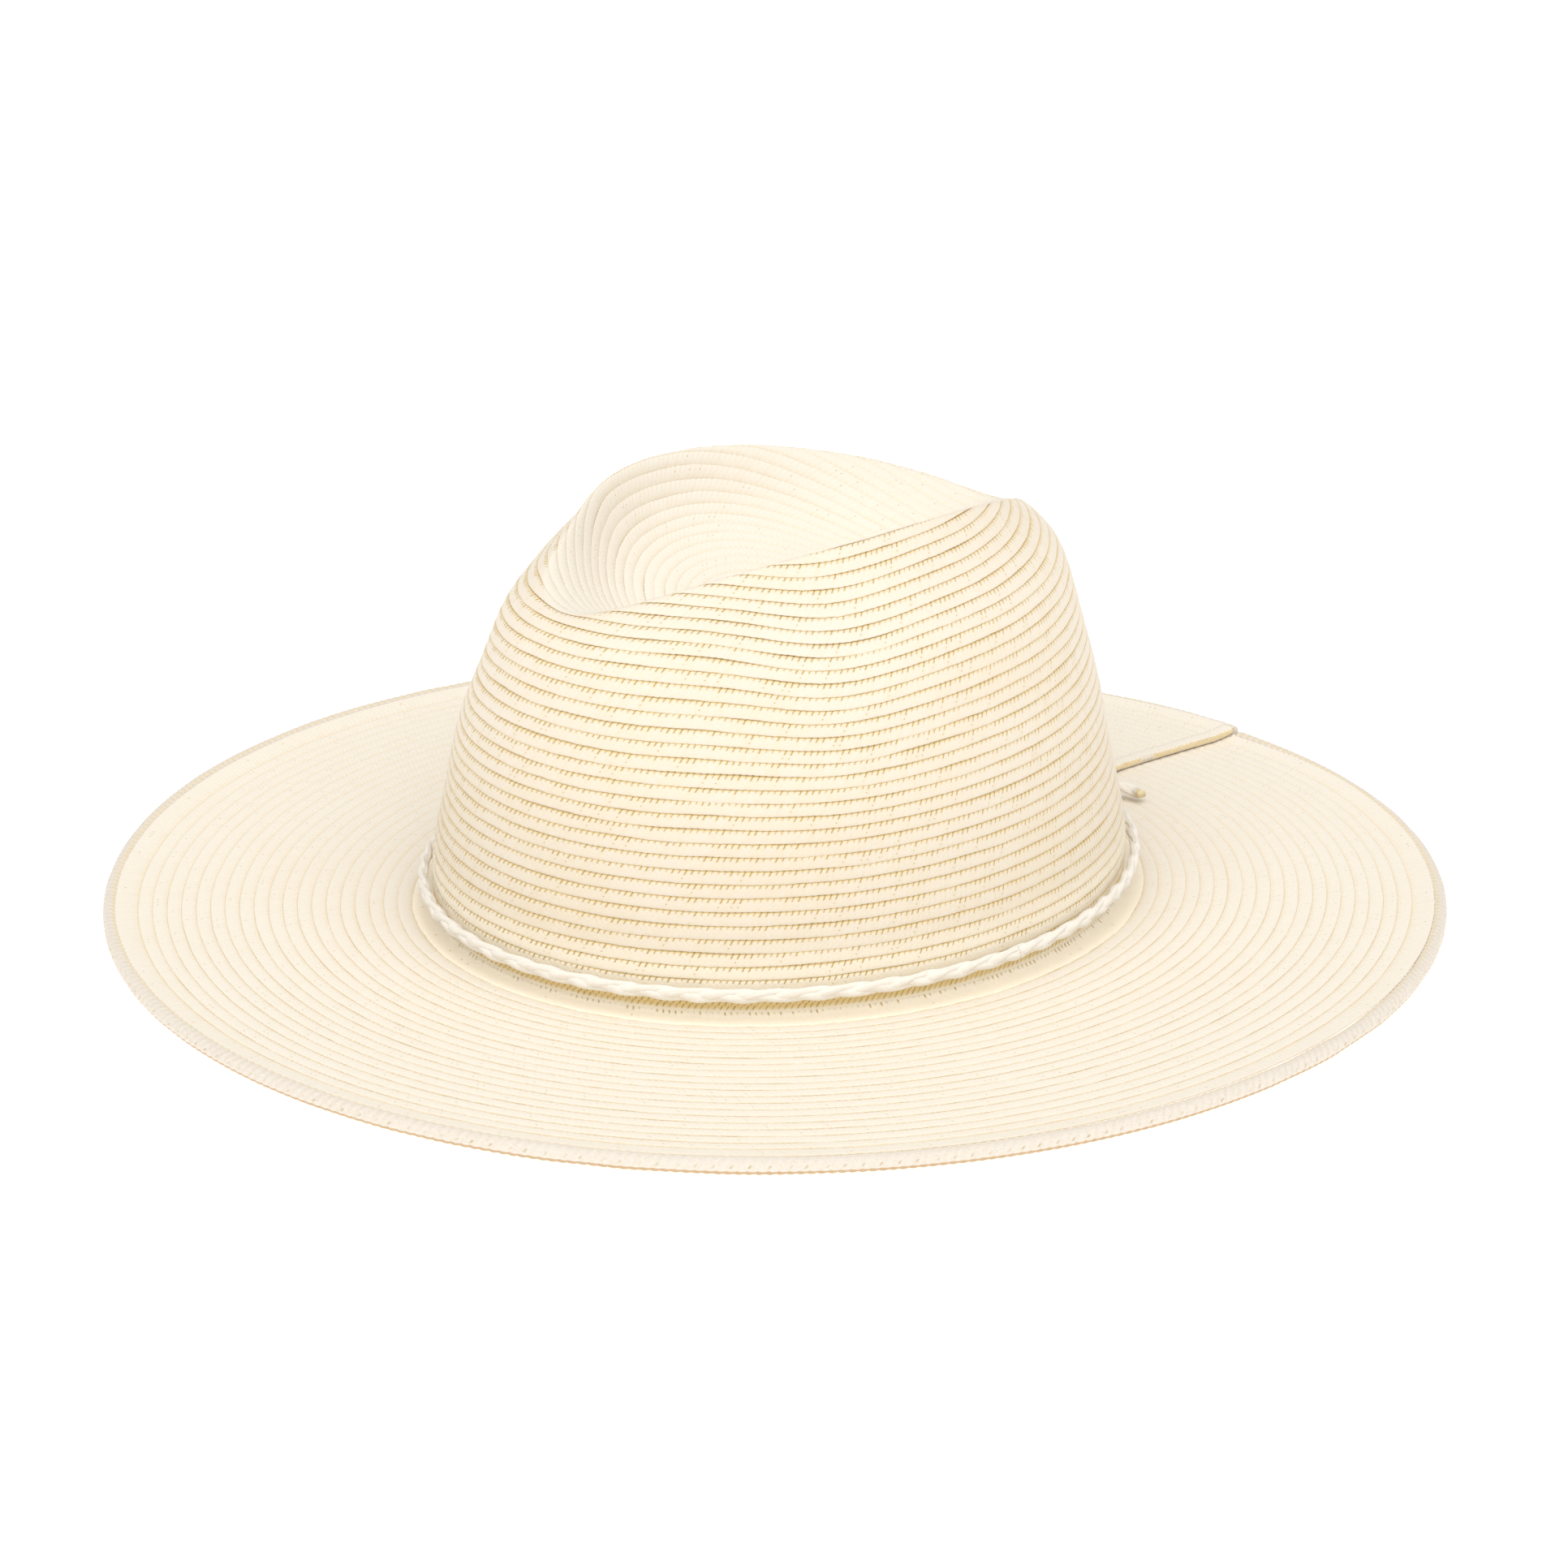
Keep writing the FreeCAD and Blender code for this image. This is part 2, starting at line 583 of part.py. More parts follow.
# ---------------------------------------------------------------- checks and files
doc.recompute()
os.makedirs("parts", exist_ok=True)
for item in doc.Objects:
    if "Invalid" in item.State or "Error" in item.State:
        raise RuntimeError(item.Label + " did not build: " + str(item.State))
for name, item in nodes.items():
    shape = item.Shape
    if not shape.isValid() or not shape.Solids or shape.Volume <= 0:
        raise RuntimeError(name + " has no valid solid")
    shape.exportStep("parts/" + name + ".step")
    box = shape.BoundBox
    print("%-20s solids %3d volume %9.1f  x %.1f %.1f  y %.1f %.1f  z %.1f %.1f" % (
        name, len(shape.Solids), shape.Volume, box.XMin, box.XMax, box.YMin, box.YMax, box.ZMin, box.ZMax))
print("break height", round(BREAK_Z, 3))
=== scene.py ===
import math

import bpy
import numpy as np
from mathutils import Matrix, Vector


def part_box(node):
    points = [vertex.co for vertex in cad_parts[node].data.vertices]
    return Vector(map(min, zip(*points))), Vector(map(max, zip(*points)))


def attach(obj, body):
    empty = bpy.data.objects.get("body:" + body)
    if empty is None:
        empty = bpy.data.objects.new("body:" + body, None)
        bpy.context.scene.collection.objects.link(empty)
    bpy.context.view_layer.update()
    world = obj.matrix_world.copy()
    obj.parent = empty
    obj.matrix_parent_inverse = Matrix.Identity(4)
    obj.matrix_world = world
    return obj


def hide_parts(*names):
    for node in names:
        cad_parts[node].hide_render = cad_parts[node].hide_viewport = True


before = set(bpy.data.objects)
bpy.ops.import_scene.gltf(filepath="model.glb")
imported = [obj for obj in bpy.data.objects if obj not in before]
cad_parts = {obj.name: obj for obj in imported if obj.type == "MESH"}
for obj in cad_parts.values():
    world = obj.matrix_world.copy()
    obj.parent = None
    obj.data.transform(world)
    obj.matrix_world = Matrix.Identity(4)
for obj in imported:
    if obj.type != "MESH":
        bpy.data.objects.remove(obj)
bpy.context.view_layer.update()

# The looks of the straw sun hat. Shapes are worked out in millimetres above the "break", the ring
# where crown and brim meet, and scaled to metres when a mesh is made. The crown and the brim are
# built as the real ones are: a flat braid of straw, laid in overlapping rows and sewn.

MM = 0.001
TAU = 2 * math.pi
noise = np.random.default_rng(7)

# ---------------------------------------------------------------- sizes shared with the CAD model
HALF_W, HALF_L = 85.0, 100.0
THICK = 1.6
EDGE_R = 2.2
BREAK_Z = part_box("crown")[0].z / MM + THICK / 2
BRIM_WIDTH, BRIM_OVAL = 88.4, 0.6
FRONT_RISE, FRONT_RISE_ANGLE = 2.1, math.radians(-70)
TOP_FLAP_X, UNDER_FLAP_X, FLAP_STEP, FLAP_REACH = 0.0, -10.0, 1.15, 42.0
FLAPS_MEET, FLAPS_PART = 4, 6              # the flaps are level for the first and part over the second
EDGE_GAP = 0.8                             # between the roll's two ends
BAND_Z, BAND_HALF_W, BAND_HALF_L = 9.6, 88.1, 103.2
KNOT = (0.0, BAND_HALF_L + 3.2, BAND_Z)

# the crown before it was folded: share of the opening's size, and height, from the break to the tip
OPEN_CROWN = [(1.0, 0.0), (1.003, 16.3), (0.966, 34.4), (0.925, 55.8), (0.868, 76.0),
              (0.790, 94.8), (0.658, 107.2), (0.451, 129.3), (0.220, 138.3), (0.0, 142.3)]
TIP_SHIFT = -14.2
LEAN_FRONT, OVAL_TOP = -0.037, -0.019
RISE_BACK, RISE_SIDES = 1.4, -1.3
CREASE = dict(height=107.0, front_curve=0.0013, back_curve=0.0017, right_slope=0.27,
              left_slope=0.137, valley=8.0, softness=1.3, depth=26.0, wall_from=12, wall_soft=3)
FOLD_FROM = 62             # no part of the wall below this height is folded
NEWTON_STEP = 0.7
DENT = dict(angle=-48.3, height=93.0, depth=5.8, width=26.8, tall=33.4,
            sag=4.7, sag_angle=-31.8, sag_width=25.6, reach=0.8,
            inner=22, inner_soft=6, lower=22, lower_soft=10)

# ---------------------------------------------------------------- braid
CROWN_ROWS = 52
STRAND = 1.66              # one straw strand to the next, along the braid
STEP = STRAND / 2
PITCH = 3.45               # visible part of a row
BRIM_PITCH = 3.83
FIRST_BRIM_ROW, BRIM_ROWS = 6.1, 20
LAST_BRIM_ROW = 85.0       # a wider row, which lies over the rolled edge


# ---------------------------------------------------------------- the crown's shape
def cubic(knots, values, flat_end):
    """Cubic spline through the values, free at the start and free or flat at the end."""
    n = len(knots)
    h = np.diff(knots)
    a, b = np.eye(n), np.zeros(n)
    for i in range(1, n - 1):
        a[i, i - 1:i + 2] = h[i - 1], 2 * (h[i - 1] + h[i]), h[i]
        b[i] = 6 * ((values[i + 1] - values[i]) / h[i] - (values[i] - values[i - 1]) / h[i - 1])
    if flat_end:
        a[-1, -2:] = h[-1], 2 * h[-1]
        b[-1] = -6 * (values[-1] - values[-2]) / h[-1]
    m = np.linalg.solve(a, b)

    def at(t):
        i = np.clip(np.searchsorted(knots, t, side="right") - 1, 0, n - 2)
        p, q = (knots[i + 1] - t) / h[i], (t - knots[i]) / h[i]
        bend = (p ** 3 - p) * m[i] + (q ** 3 - q) * m[i + 1]
        return p * values[i] + q * values[i + 1] + bend * h[i] ** 2 / 6
    return at


SHARES, HEIGHTS = np.array(OPEN_CROWN).T
MEAN_HALF = (HALF_W + HALF_L) / 2
KNOTS = np.concatenate([[0], np.cumsum(np.hypot(np.diff(SHARES) * MEAN_HALF, np.diff(HEIGHTS)))])
MERIDIAN = KNOTS[-1]
share_at = cubic(KNOTS / MERIDIAN, SHARES, False)
height_at = cubic(KNOTS / MERIDIAN, HEIGHTS, True)


def logistic(x):
    """0 well below zero, 1 well above it."""
    return 1 / (1 + np.exp(-np.clip(x, -60, 60)))


def crease_curve(y):
    return np.where(y < 0, CREASE["front_curve"], CREASE["back_curve"])


def crease_height(x, y):
    """The surface that the top is folded down about: a shallow valley that falls to the front and back."""
    steep = np.hypot(x, CREASE["valley"])
    right, left = (steep + x - CREASE["valley"]) / 2, (steep - x - CREASE["valley"]) / 2
    return (CREASE["height"] - crease_curve(y) * y ** 2
            + CREASE["right_slope"] * right + CREASE["left_slope"] * left)


def finger_dent(x, y, z, side):
    """Where one finger dent moves points of the crown; side is 1 on the right and -1 on the left."""
    a, s = math.radians(DENT["angle"]), math.radians(DENT["sag_angle"])
    nx, ny = side * HALF_L * math.cos(a), HALF_W * math.sin(a)
    size = math.hypot(nx, ny)
    nx, ny = nx / size, ny / size
    reach = DENT["reach"]
    dx, dy = x - side * HALF_W * reach * math.cos(a), y - HALF_L * reach * math.sin(a)
    along, out = dy * nx - dx * ny, dx * nx + dy * ny
    here = logistic((out + DENT["inner"]) / DENT["inner_soft"])
    push = np.exp(-(along / DENT["width"]) ** 2 - ((z - DENT["height"]) / DENT["tall"]) ** 2) * here
    along_sag = (y - HALF_L * reach * math.sin(s)) * nx - (x - side * HALF_W * reach * math.cos(s)) * ny
    high = logistic((z - DENT["height"] + DENT["lower"]) / DENT["lower_soft"])
    drop = np.exp(-(along_sag / DENT["sag_width"]) ** 2) * here * high
    return x - nx * push * DENT["depth"], y - ny * push * DENT["depth"], z - drop * DENT["sag"]


def crown_point(phi, t):
    """Outer surface of the crown: phi round the head from +X, t from the break (0) to the tip (1)."""
    k = np.maximum(share_at(t), 0)
    z = height_at(t)
    w = np.sin(np.pi * t) ** 2
    k = k * (1 + (LEAN_FRONT * np.sin(phi) + OVAL_TOP * np.cos(2 * phi)) * w)
    z = z + (RISE_BACK * np.sin(phi) + RISE_SIDES * np.cos(2 * phi)) * w
    x, y = HALF_W * k * np.cos(phi), HALF_L * k * np.sin(phi) + TIP_SHIFT * (1 - k) ** 2
    for side in (1, -1):
        x, y, z = finger_dent(x, y, z, side)
    foot = y    # becomes the nearest point of the folding surface, in damped Newton steps
    for _ in range(8):
        slope = -2 * crease_curve(foot) * foot
        foot = foot - NEWTON_STEP * ((foot - y) + (crease_height(x, foot) - z) * slope) / (1 + slope * slope)
    slope = -2 * crease_curve(foot) * foot
    size = np.sqrt(1 + slope * slope)
    ny, nz = -slope / size, 1 / size
    above = (y - foot) * ny + (z - crease_height(x, foot)) * nz
    folded = -CREASE["depth"] * np.tanh(np.hypot(above, CREASE["softness"]) / CREASE["depth"])
    keep = 1 - logistic((above + CREASE["wall_from"]) / CREASE["wall_soft"])
    depth = folded * (1 - keep) + above * keep
    high = z > FOLD_FROM
    y, z = np.where(high, foot + ny * depth, y), np.where(high, crease_height(x, foot) + nz * depth, z)
    return np.stack([x, y, z], -1)


# ---------------------------------------------------------------- the brim's shape
def brim_reach(phi):
    return BRIM_WIDTH + BRIM_OVAL * np.cos(2 * phi)


def edge_wave(phi):
    """Height of the brim's edge: gentle waves left by wearing."""
    return (-0.15 - 0.3 * np.cos(phi) - 1.45 * np.sin(phi) + 0.95 * np.cos(2 * phi)
            + 0.7 * np.sin(2 * phi) - 0.3 * np.cos(3 * phi))


def at_front(phi):
    """1 where the brim stands highest against the crown, 0 behind."""
    return (1 + np.cos(phi - FRONT_RISE_ANGLE)) / 2


def end_angle(r, x_edge):
    """Angle of the slit's straight edge x = x_edge where it crosses the oval r outside the head."""
    return np.pi / 2 - np.arcsin(x_edge / (HALF_W + r))


def brim_angle(u, r):
    """u runs from the under flap (0), by the right side and the front, to the top flap (1)."""
    start, end = end_angle(r, UNDER_FLAP_X), end_angle(r, TOP_FLAP_X) - TAU
    return start + (end - start) * u


def flap_lift(u, r):
    """Towards the slit the top flap rises and the under flap drops, but not close to the crown."""
    arc = (HALF_L + r) * TAU
    near_end, near_start = (1 - u) * arc / FLAP_REACH, u * arc / FLAP_REACH
    grow = np.clip((r - FLAPS_MEET) / FLAPS_PART, 0, 1)
    return FLAP_STEP * (np.exp(-near_end ** 2) - np.exp(-near_start ** 2)) * grow


BEND_R, BEND_R_FRONT = 2.4, 0.9            # the turn from the brim up the crown's wall
ROLL_RISE, ROLL_RISE_WIDTH = 1.25, 11.0    # the last rows rise to lie over the top of the rolled edge


def brim_point(phi, s, lift=0.0):
    """Top of the brim at s outside the break; below s = bend the surface turns up the crown's wall."""
    bend = BEND_R + (BEND_R_FRONT - BEND_R) * at_front(phi)
    r = np.maximum(s, bend)
    onto_roll = np.clip((s - LAST_BRIM_ROW) / ROLL_RISE_WIDTH + 1, 0, 1)
    z = edge_wave(phi) * (r / brim_reach(phi)) ** 2 + THICK / 2 + lift + ROLL_RISE * onto_roll ** 2
    turn = np.clip((bend - s) / bend, 0, np.pi / 2)
    rise = np.maximum((bend - s) - bend * np.pi / 2, 0)
    r = r - bend * np.sin(turn)
    z = z + bend * (1 - np.cos(turn)) + rise + FRONT_RISE * at_front(phi)
    return np.stack([(HALF_W + r) * np.cos(phi), (HALF_L + r) * np.sin(phi), z], -1)


# ---------------------------------------------------------------- meshes from rings
def unit(v):
    return v / np.maximum(np.linalg.norm(v, axis=-1, keepdims=True), 1e-12)


def part_from_rings(rings, tags, closed=False):
    """Points and quads of a tube whose cross sections are the rings, with capped ends unless closed."""
    count, size = rings.shape[:2]
    i, j = np.meshgrid(np.arange(count if closed else count - 1), np.arange(size), indexing="ij")
    a, b = i * size + j, i * size + (j + 1) % size
    c, d = ((i + 1) % count) * size + (j + 1) % size, ((i + 1) % count) * size + j
    faces = [np.stack([a, b, c, d], -1).reshape(-1, 4)]
    points, marks = rings.reshape(-1, 3), tags.reshape(-1, 3)
    if not closed:
        ends = np.stack([rings[0].mean(0), rings[-1].mean(0)])
        end_marks = np.stack([tags[0].mean(0), tags[-1].mean(0)])
        j = np.arange(size)
        k = (j + 1) % size
        last = (count - 1) * size
        faces.append(np.stack([np.full(size, count * size), k, j], -1))
        faces.append(np.stack([np.full(size, count * size + 1), last + j, last + k], -1))
        points, marks = np.concatenate([points, ends]), np.concatenate([marks, end_marks])
    p = points[faces[0]]
    if np.einsum("ij,ij->i", p[:, 0], np.cross(p[:, 1], p[:, 2]) + np.cross(p[:, 2], p[:, 3])).sum() < 0:
        faces = [f[:, ::-1] for f in faces]
    return points, marks, faces


def make_piece(name, parts, material, body, nodes):
    """One object from parts in millimetres above the break, riding on a CAD body."""
    points, marks, loops, totals, start = [], [], [], [], 0
    for p, m, faces in parts:
        points.append(p)
        marks.append(m)
        for f in faces:
            loops.append((f + start).ravel())
            totals.append(np.full(len(f), f.shape[1]))
        start += len(p)
    points = (np.concatenate(points) + [0, 0, BREAK_Z]) * MM
    loops, totals = np.concatenate(loops), np.concatenate(totals)
    mesh = bpy.data.meshes.new(name)
    mesh.vertices.add(len(points))
    mesh.vertices.foreach_set("co", points.astype(np.float32).ravel())
    mesh.loops.add(len(loops))
    mesh.loops.foreach_set("vertex_index", loops.astype(np.int32))
    mesh.polygons.add(len(totals))
    mesh.polygons.foreach_set("loop_start", np.concatenate([[0], np.cumsum(totals)[:-1]]).astype(np.int32))
    mesh.polygons.foreach_set("loop_total", totals.astype(np.int32))
    mesh.polygons.foreach_set("use_smooth", np.ones(len(totals), bool))
    tag = mesh.attributes.new("braid", "FLOAT_VECTOR", "POINT")
    tag.data.foreach_set("vector", np.concatenate(marks).astype(np.float32).ravel())
    mesh.update(calc_edges=True)
    mesh.validate()
    piece = bpy.data.objects.new(name, mesh)
    bpy.context.scene.collection.objects.link(piece)
    piece.data.materials.append(material)
    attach(piece, body)
    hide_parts(*nodes)
    return piece


# ---------------------------------------------------------------- shader helpers
class Shader:
    """A material with one Principled shader, built node by node."""

    def __init__(self, name, **settings):
        self.material = bpy.data.materials.new(name)
        self.material.use_nodes = True
        self.tree = self.material.node_tree
        self.shader = self.tree.nodes["Principled BSDF"]
        for key, value in settings.items():
            self.shader.inputs[key.replace("_", " ")].default_value = value

    def put(self, socket, value):
        if isinstance(value, bpy.types.NodeSocket):
            self.tree.links.new(value, socket)
        else:
            socket.default_value = value

    def node(self, kind, *inputs, out=0, **settings):
        made = self.tree.nodes.new("ShaderNode" + kind)
        for key, value in settings.items():
            setattr(made, key, value)
        for socket, value in zip(made.inputs, inputs):
            if value is not None:
                self.put(socket, value)
        return made.outputs[out]

    def math(self, operation, a, b=0.0, c=0.0):
        return self.node("Math", a, b, c, operation=operation)

    def attribute(self, name):
        vector = self.node("Attribute", attribute_name=name, out=1)
        split = self.tree.nodes.new("ShaderNodeSeparateXYZ")
        self.tree.links.new(vector, split.inputs[0])
        return split.outputs[0], split.outputs[1], split.outputs[2]

    def smooth(self, value, low, high):
        """0 below low, 1 above high, smooth between; low may be above high."""
        made = self.tree.nodes.new("ShaderNodeMapRange")
        made.interpolation_type = "SMOOTHSTEP"
        flip = low > high
        for key, x in (("Value", value), ("From Min", min(low, high)), ("From Max", max(low, high)),
                       ("To Min", 1.0 if flip else 0.0), ("To Max", 0.0 if flip else 1.0)):
            self.put(made.inputs[key], x)
        return made.outputs[0]

    def vector(self, x, y, z=0.0):
        return self.node("CombineXYZ", x, y, z)

    def noise(self, vector, scale, detail=2.0, rough=0.5):
        made = self.tree.nodes.new("ShaderNodeTexNoise")
        made.noise_dimensions = "3D"
        for key, x in (("Vector", vector), ("Scale", scale), ("Detail", detail), ("Roughness", rough)):
            self.put(made.inputs[key], x)
        return made.outputs[0]

    def cell_noise(self, value):
        made = self.tree.nodes.new("ShaderNodeTexWhiteNoise")
        made.noise_dimensions = "1D"
        self.put(made.inputs["W"], value)
        return made.outputs[0]

    def mix(self, factor, a, b):
        made = self.tree.nodes.new("ShaderNodeMix")
        made.data_type = "RGBA"
        for index, x in ((0, factor), (6, a), (7, b)):
            self.put(made.inputs[index], x)
        return made.outputs[2]

    def position(self):
        return self.tree.nodes.new("ShaderNodeTexCoord").outputs["Object"]

    def bump(self, height, strength, distance):
        made = self.tree.nodes.new("ShaderNodeBump")
        for key, x in (("Strength", strength), ("Distance", distance), ("Height", height)):
            self.put(made.inputs[key], x)
        self.tree.links.new(made.outputs[0], self.shader.inputs["Normal"])

    def colour(self, value):
        self.put(self.shader.inputs["Base Color"], value)

    def roughness(self, value):
        self.put(self.shader.inputs["Roughness"], value)


# ---------------------------------------------------------------- materials
STRAW_LIGHT = (0.79, 0.715, 0.605, 1)
# painted light, laid on straw in the cord's shade
NEAR_CORD_PAINTED_LIGHT = (0.98, 0.900, 0.740, 1)
# painted light, laid on rows and on the brim that face up to the light
FACE_UP_PAINTED_LIGHT = (0.85, 0.795, 0.700, 1)
STRAW_WARM = (0.78, 0.680, 0.530, 1)
# gold, used mostly as painted shade: under the cord, where strands dip, at the roll's joint, on the cord's
# tips and on the slit tape
STRAW_GOLD = (0.82, 0.630, 0.270, 1)
# painted shade in the gaps between strands, here and on the rolled edge, and the dark of needle holes
STRAW_DEEP = (0.54, 0.375, 0.120, 1)
# painted shade, laid in the crevice under each row and in the grooves of the rolled edge
STRAW_CREVICE_SHADE = (0.78, 0.600, 0.300, 1)
# painted shade, laid on the underside of the rolled edge
STRAW_UNDERSIDE_SHADE = (0.50, 0.320, 0.150, 1)
CORD_SHADOW_HEIGHTS = (4.0, 5.3, 7.6, 8.6)    # heights between which the cord's shadow is painted golden on the straw
SHADED_BY_BAND = (24.0, 12.0)        # painted light: the wall is paler, against the cord's shade, from the first height down to the second


def straw(name, crevice_shade, edges, row, crevice_width, sheltered):
    """Paper-straw braid. The braid attribute is x along it, y across from its free edge, both in
    millimetres, and z how open the gaps between its strands are, less where a row is turned up to the
    light, which also scales their painted shade. crevice_shade and edges say how golden the painted
    shade makes the crevice and the free edge of each row; row is its visible width and crevice_width
    the crevice's."""
    s = Shader(name, Roughness=0.62, Specular_IOR_Level=0.3, Sheen_Weight=0.12, Sheen_Roughness=0.5)
    along, across, ticks = s.attribute("braid")
    strand = s.math("DIVIDE", along, STRAND)
    lean = s.math("MULTIPLY_ADD", across, -0.30, strand)
    cell = s.math("FLOOR", lean)
    chance = s.cell_noise(cell)
    place = s.position()
    # broad and fine colour changes
    cloud = s.noise(place, 28.0, 3.0)
    fibre = s.noise(s.vector(s.math("MULTIPLY", along, 0.5), s.math("MULTIPLY", across, 5.0)), 1.0, 3.0, 0.6)
    warm = s.math("MULTIPLY_ADD", s.math("ADD", cloud, fibre), 0.55, s.math("MULTIPLY", chance, 0.18))
    base = s.mix(s.smooth(warm, 0.42, 0.95), STRAW_LIGHT, STRAW_WARM)
    # painted shadow: the straw under the cord is golden where the cord's shade falls
    height = s.tree.nodes.new("ShaderNodeSeparateXYZ")
    s.put(height.inputs[0], place)
    low_in, low_out, high_in, high_out = ((BREAK_Z + z) * MM for z in CORD_SHADOW_HEIGHTS)
    cord_shadow = s.math("MULTIPLY", s.smooth(height.outputs[2], low_in, low_out),
                    s.smooth(height.outputs[2], high_out, high_in))
    cord_shadow = s.math("MULTIPLY", cord_shadow, s.smooth(ticks, 0.9, 1.0))
    base = s.mix(s.math("MULTIPLY", cord_shadow, 0.8), base, STRAW_GOLD)
    # painted shade: each row is a little deeper in colour towards the row that covers it
    base = s.mix(s.math("MULTIPLY", s.smooth(across, row - 1.9, row - 0.2), 0.13), base, STRAW_CREVICE_SHADE)
    # slanting strands, with painted shade where one dips under the next
    stroke = s.math("SINE", s.math("MULTIPLY", s.math("MULTIPLY_ADD", across, -0.45, strand), TAU))
    stroke = s.math("MULTIPLY", s.smooth(stroke, 0.2, 0.95), s.smooth(fibre, 0.42, 0.62))
    base = s.mix(s.math("MULTIPLY", stroke, 0.30), base, STRAW_GOLD)
    # painted shade: the crevice under the row above, and the gaps between strands that open towards it
    crevice = s.smooth(across, row - crevice_width, row - 0.12)
    phase = s.math("ABSOLUTE", s.math("SUBTRACT", s.math("FRACT", lean), 0.5))
    reach = s.math("MULTIPLY_ADD", chance, -0.55, row - 0.82)
    opening = s.math("MAXIMUM", s.math("MULTIPLY", s.math("SUBTRACT", across, reach), 2.0), cord_shadow)
    open_gap = s.math("MULTIPLY", s.smooth(phase, 0.20, 0.06), s.smooth(opening, 0.0, 0.8))
    strength = s.math("MULTIPLY_ADD", s.smooth(chance, 0.1, 0.9), 0.45, 0.55)
    tick = s.math("MULTIPLY", s.math("MULTIPLY", open_gap, strength), ticks)
    # needle holes: a few cells have one near the row's free edge
    hole_at = s.math("POWER", s.math("SUBTRACT", across, 1.35), 2.0)
    hole_size = s.math("MULTIPLY_ADD", s.math("POWER", phase, 2.0), STRAND * STRAND, hole_at)
    hole = s.math("MULTIPLY", s.smooth(hole_size, 0.05, 0.012), s.smooth(chance, 0.90, 0.93))
    if sheltered:
        # the crevice's painted shade fades where the row faces up to the light
        crevice = s.math("MULTIPLY", crevice, ticks)
        # painted light: the wall near the cord is paler, to lift the cord's shade
        from_z, full_z = ((BREAK_Z + z) * MM for z in SHADED_BY_BAND)
        near_cord = s.smooth(height.outputs[2], from_z, full_z)
        near_cord = s.math("MULTIPLY", near_cord, s.math("MULTIPLY_ADD", cord_shadow, -0.7, 0.7))
        base = s.mix(near_cord, base, NEAR_CORD_PAINTED_LIGHT)
        # painted light: rows that lie face up are lighter
        base = s.mix(s.math("MULTIPLY", s.smooth(ticks, 0.8, 0.3), 0.55), base, FACE_UP_PAINTED_LIGHT)
    else:
        # painted light: the brim faces up and is lighter all over
        base = s.mix(0.55, base, FACE_UP_PAINTED_LIGHT)
        # painted light: the brim's first row, in the cord's shade, is paler
        base = s.mix(s.math("MULTIPLY", s.smooth(ticks, 0.3, 0.85), 0.8), base, NEAR_CORD_PAINTED_LIGHT)
    # painted shade: the crevice under the row above, and on the brim the free edge of each row, are golden
    free_edge = s.math("MULTIPLY", s.smooth(across, 0.20, 0.04), s.smooth(fibre, 0.35, 0.6))
    base = s.mix(s.math("MAXIMUM", s.math("MULTIPLY", crevice, crevice_shade), s.math("MULTIPLY", free_edge, edges)),
                 base, STRAW_CREVICE_SHADE)
    # painted shade in the gaps between strands, and dark needle holes
    s.colour(s.mix(s.math("MAXIMUM", tick, s.math("MULTIPLY", hole, 0.8)), base, STRAW_DEEP))
    # relief: slanting strands that turn back at the middle of the braid, and fibres
    half = s.math("ABSOLUTE", s.math("SUBTRACT", across, 1.7))
    weave = s.math("SINE", s.math("MULTIPLY", s.math("MULTIPLY_ADD", half, 0.42, strand), TAU))
    groove = s.math("MULTIPLY_ADD", tick, -0.9, s.math("MULTIPLY", weave, 0.22))
    relief = s.math("ADD", groove, s.math("MULTIPLY", fibre, 0.5))
    s.bump(s.math("MULTIPLY_ADD", hole, -0.8, relief), 0.55, 0.00022)
    s.roughness(s.math("MULTIPLY_ADD", fibre, 0.25, 0.5))
    return s.material


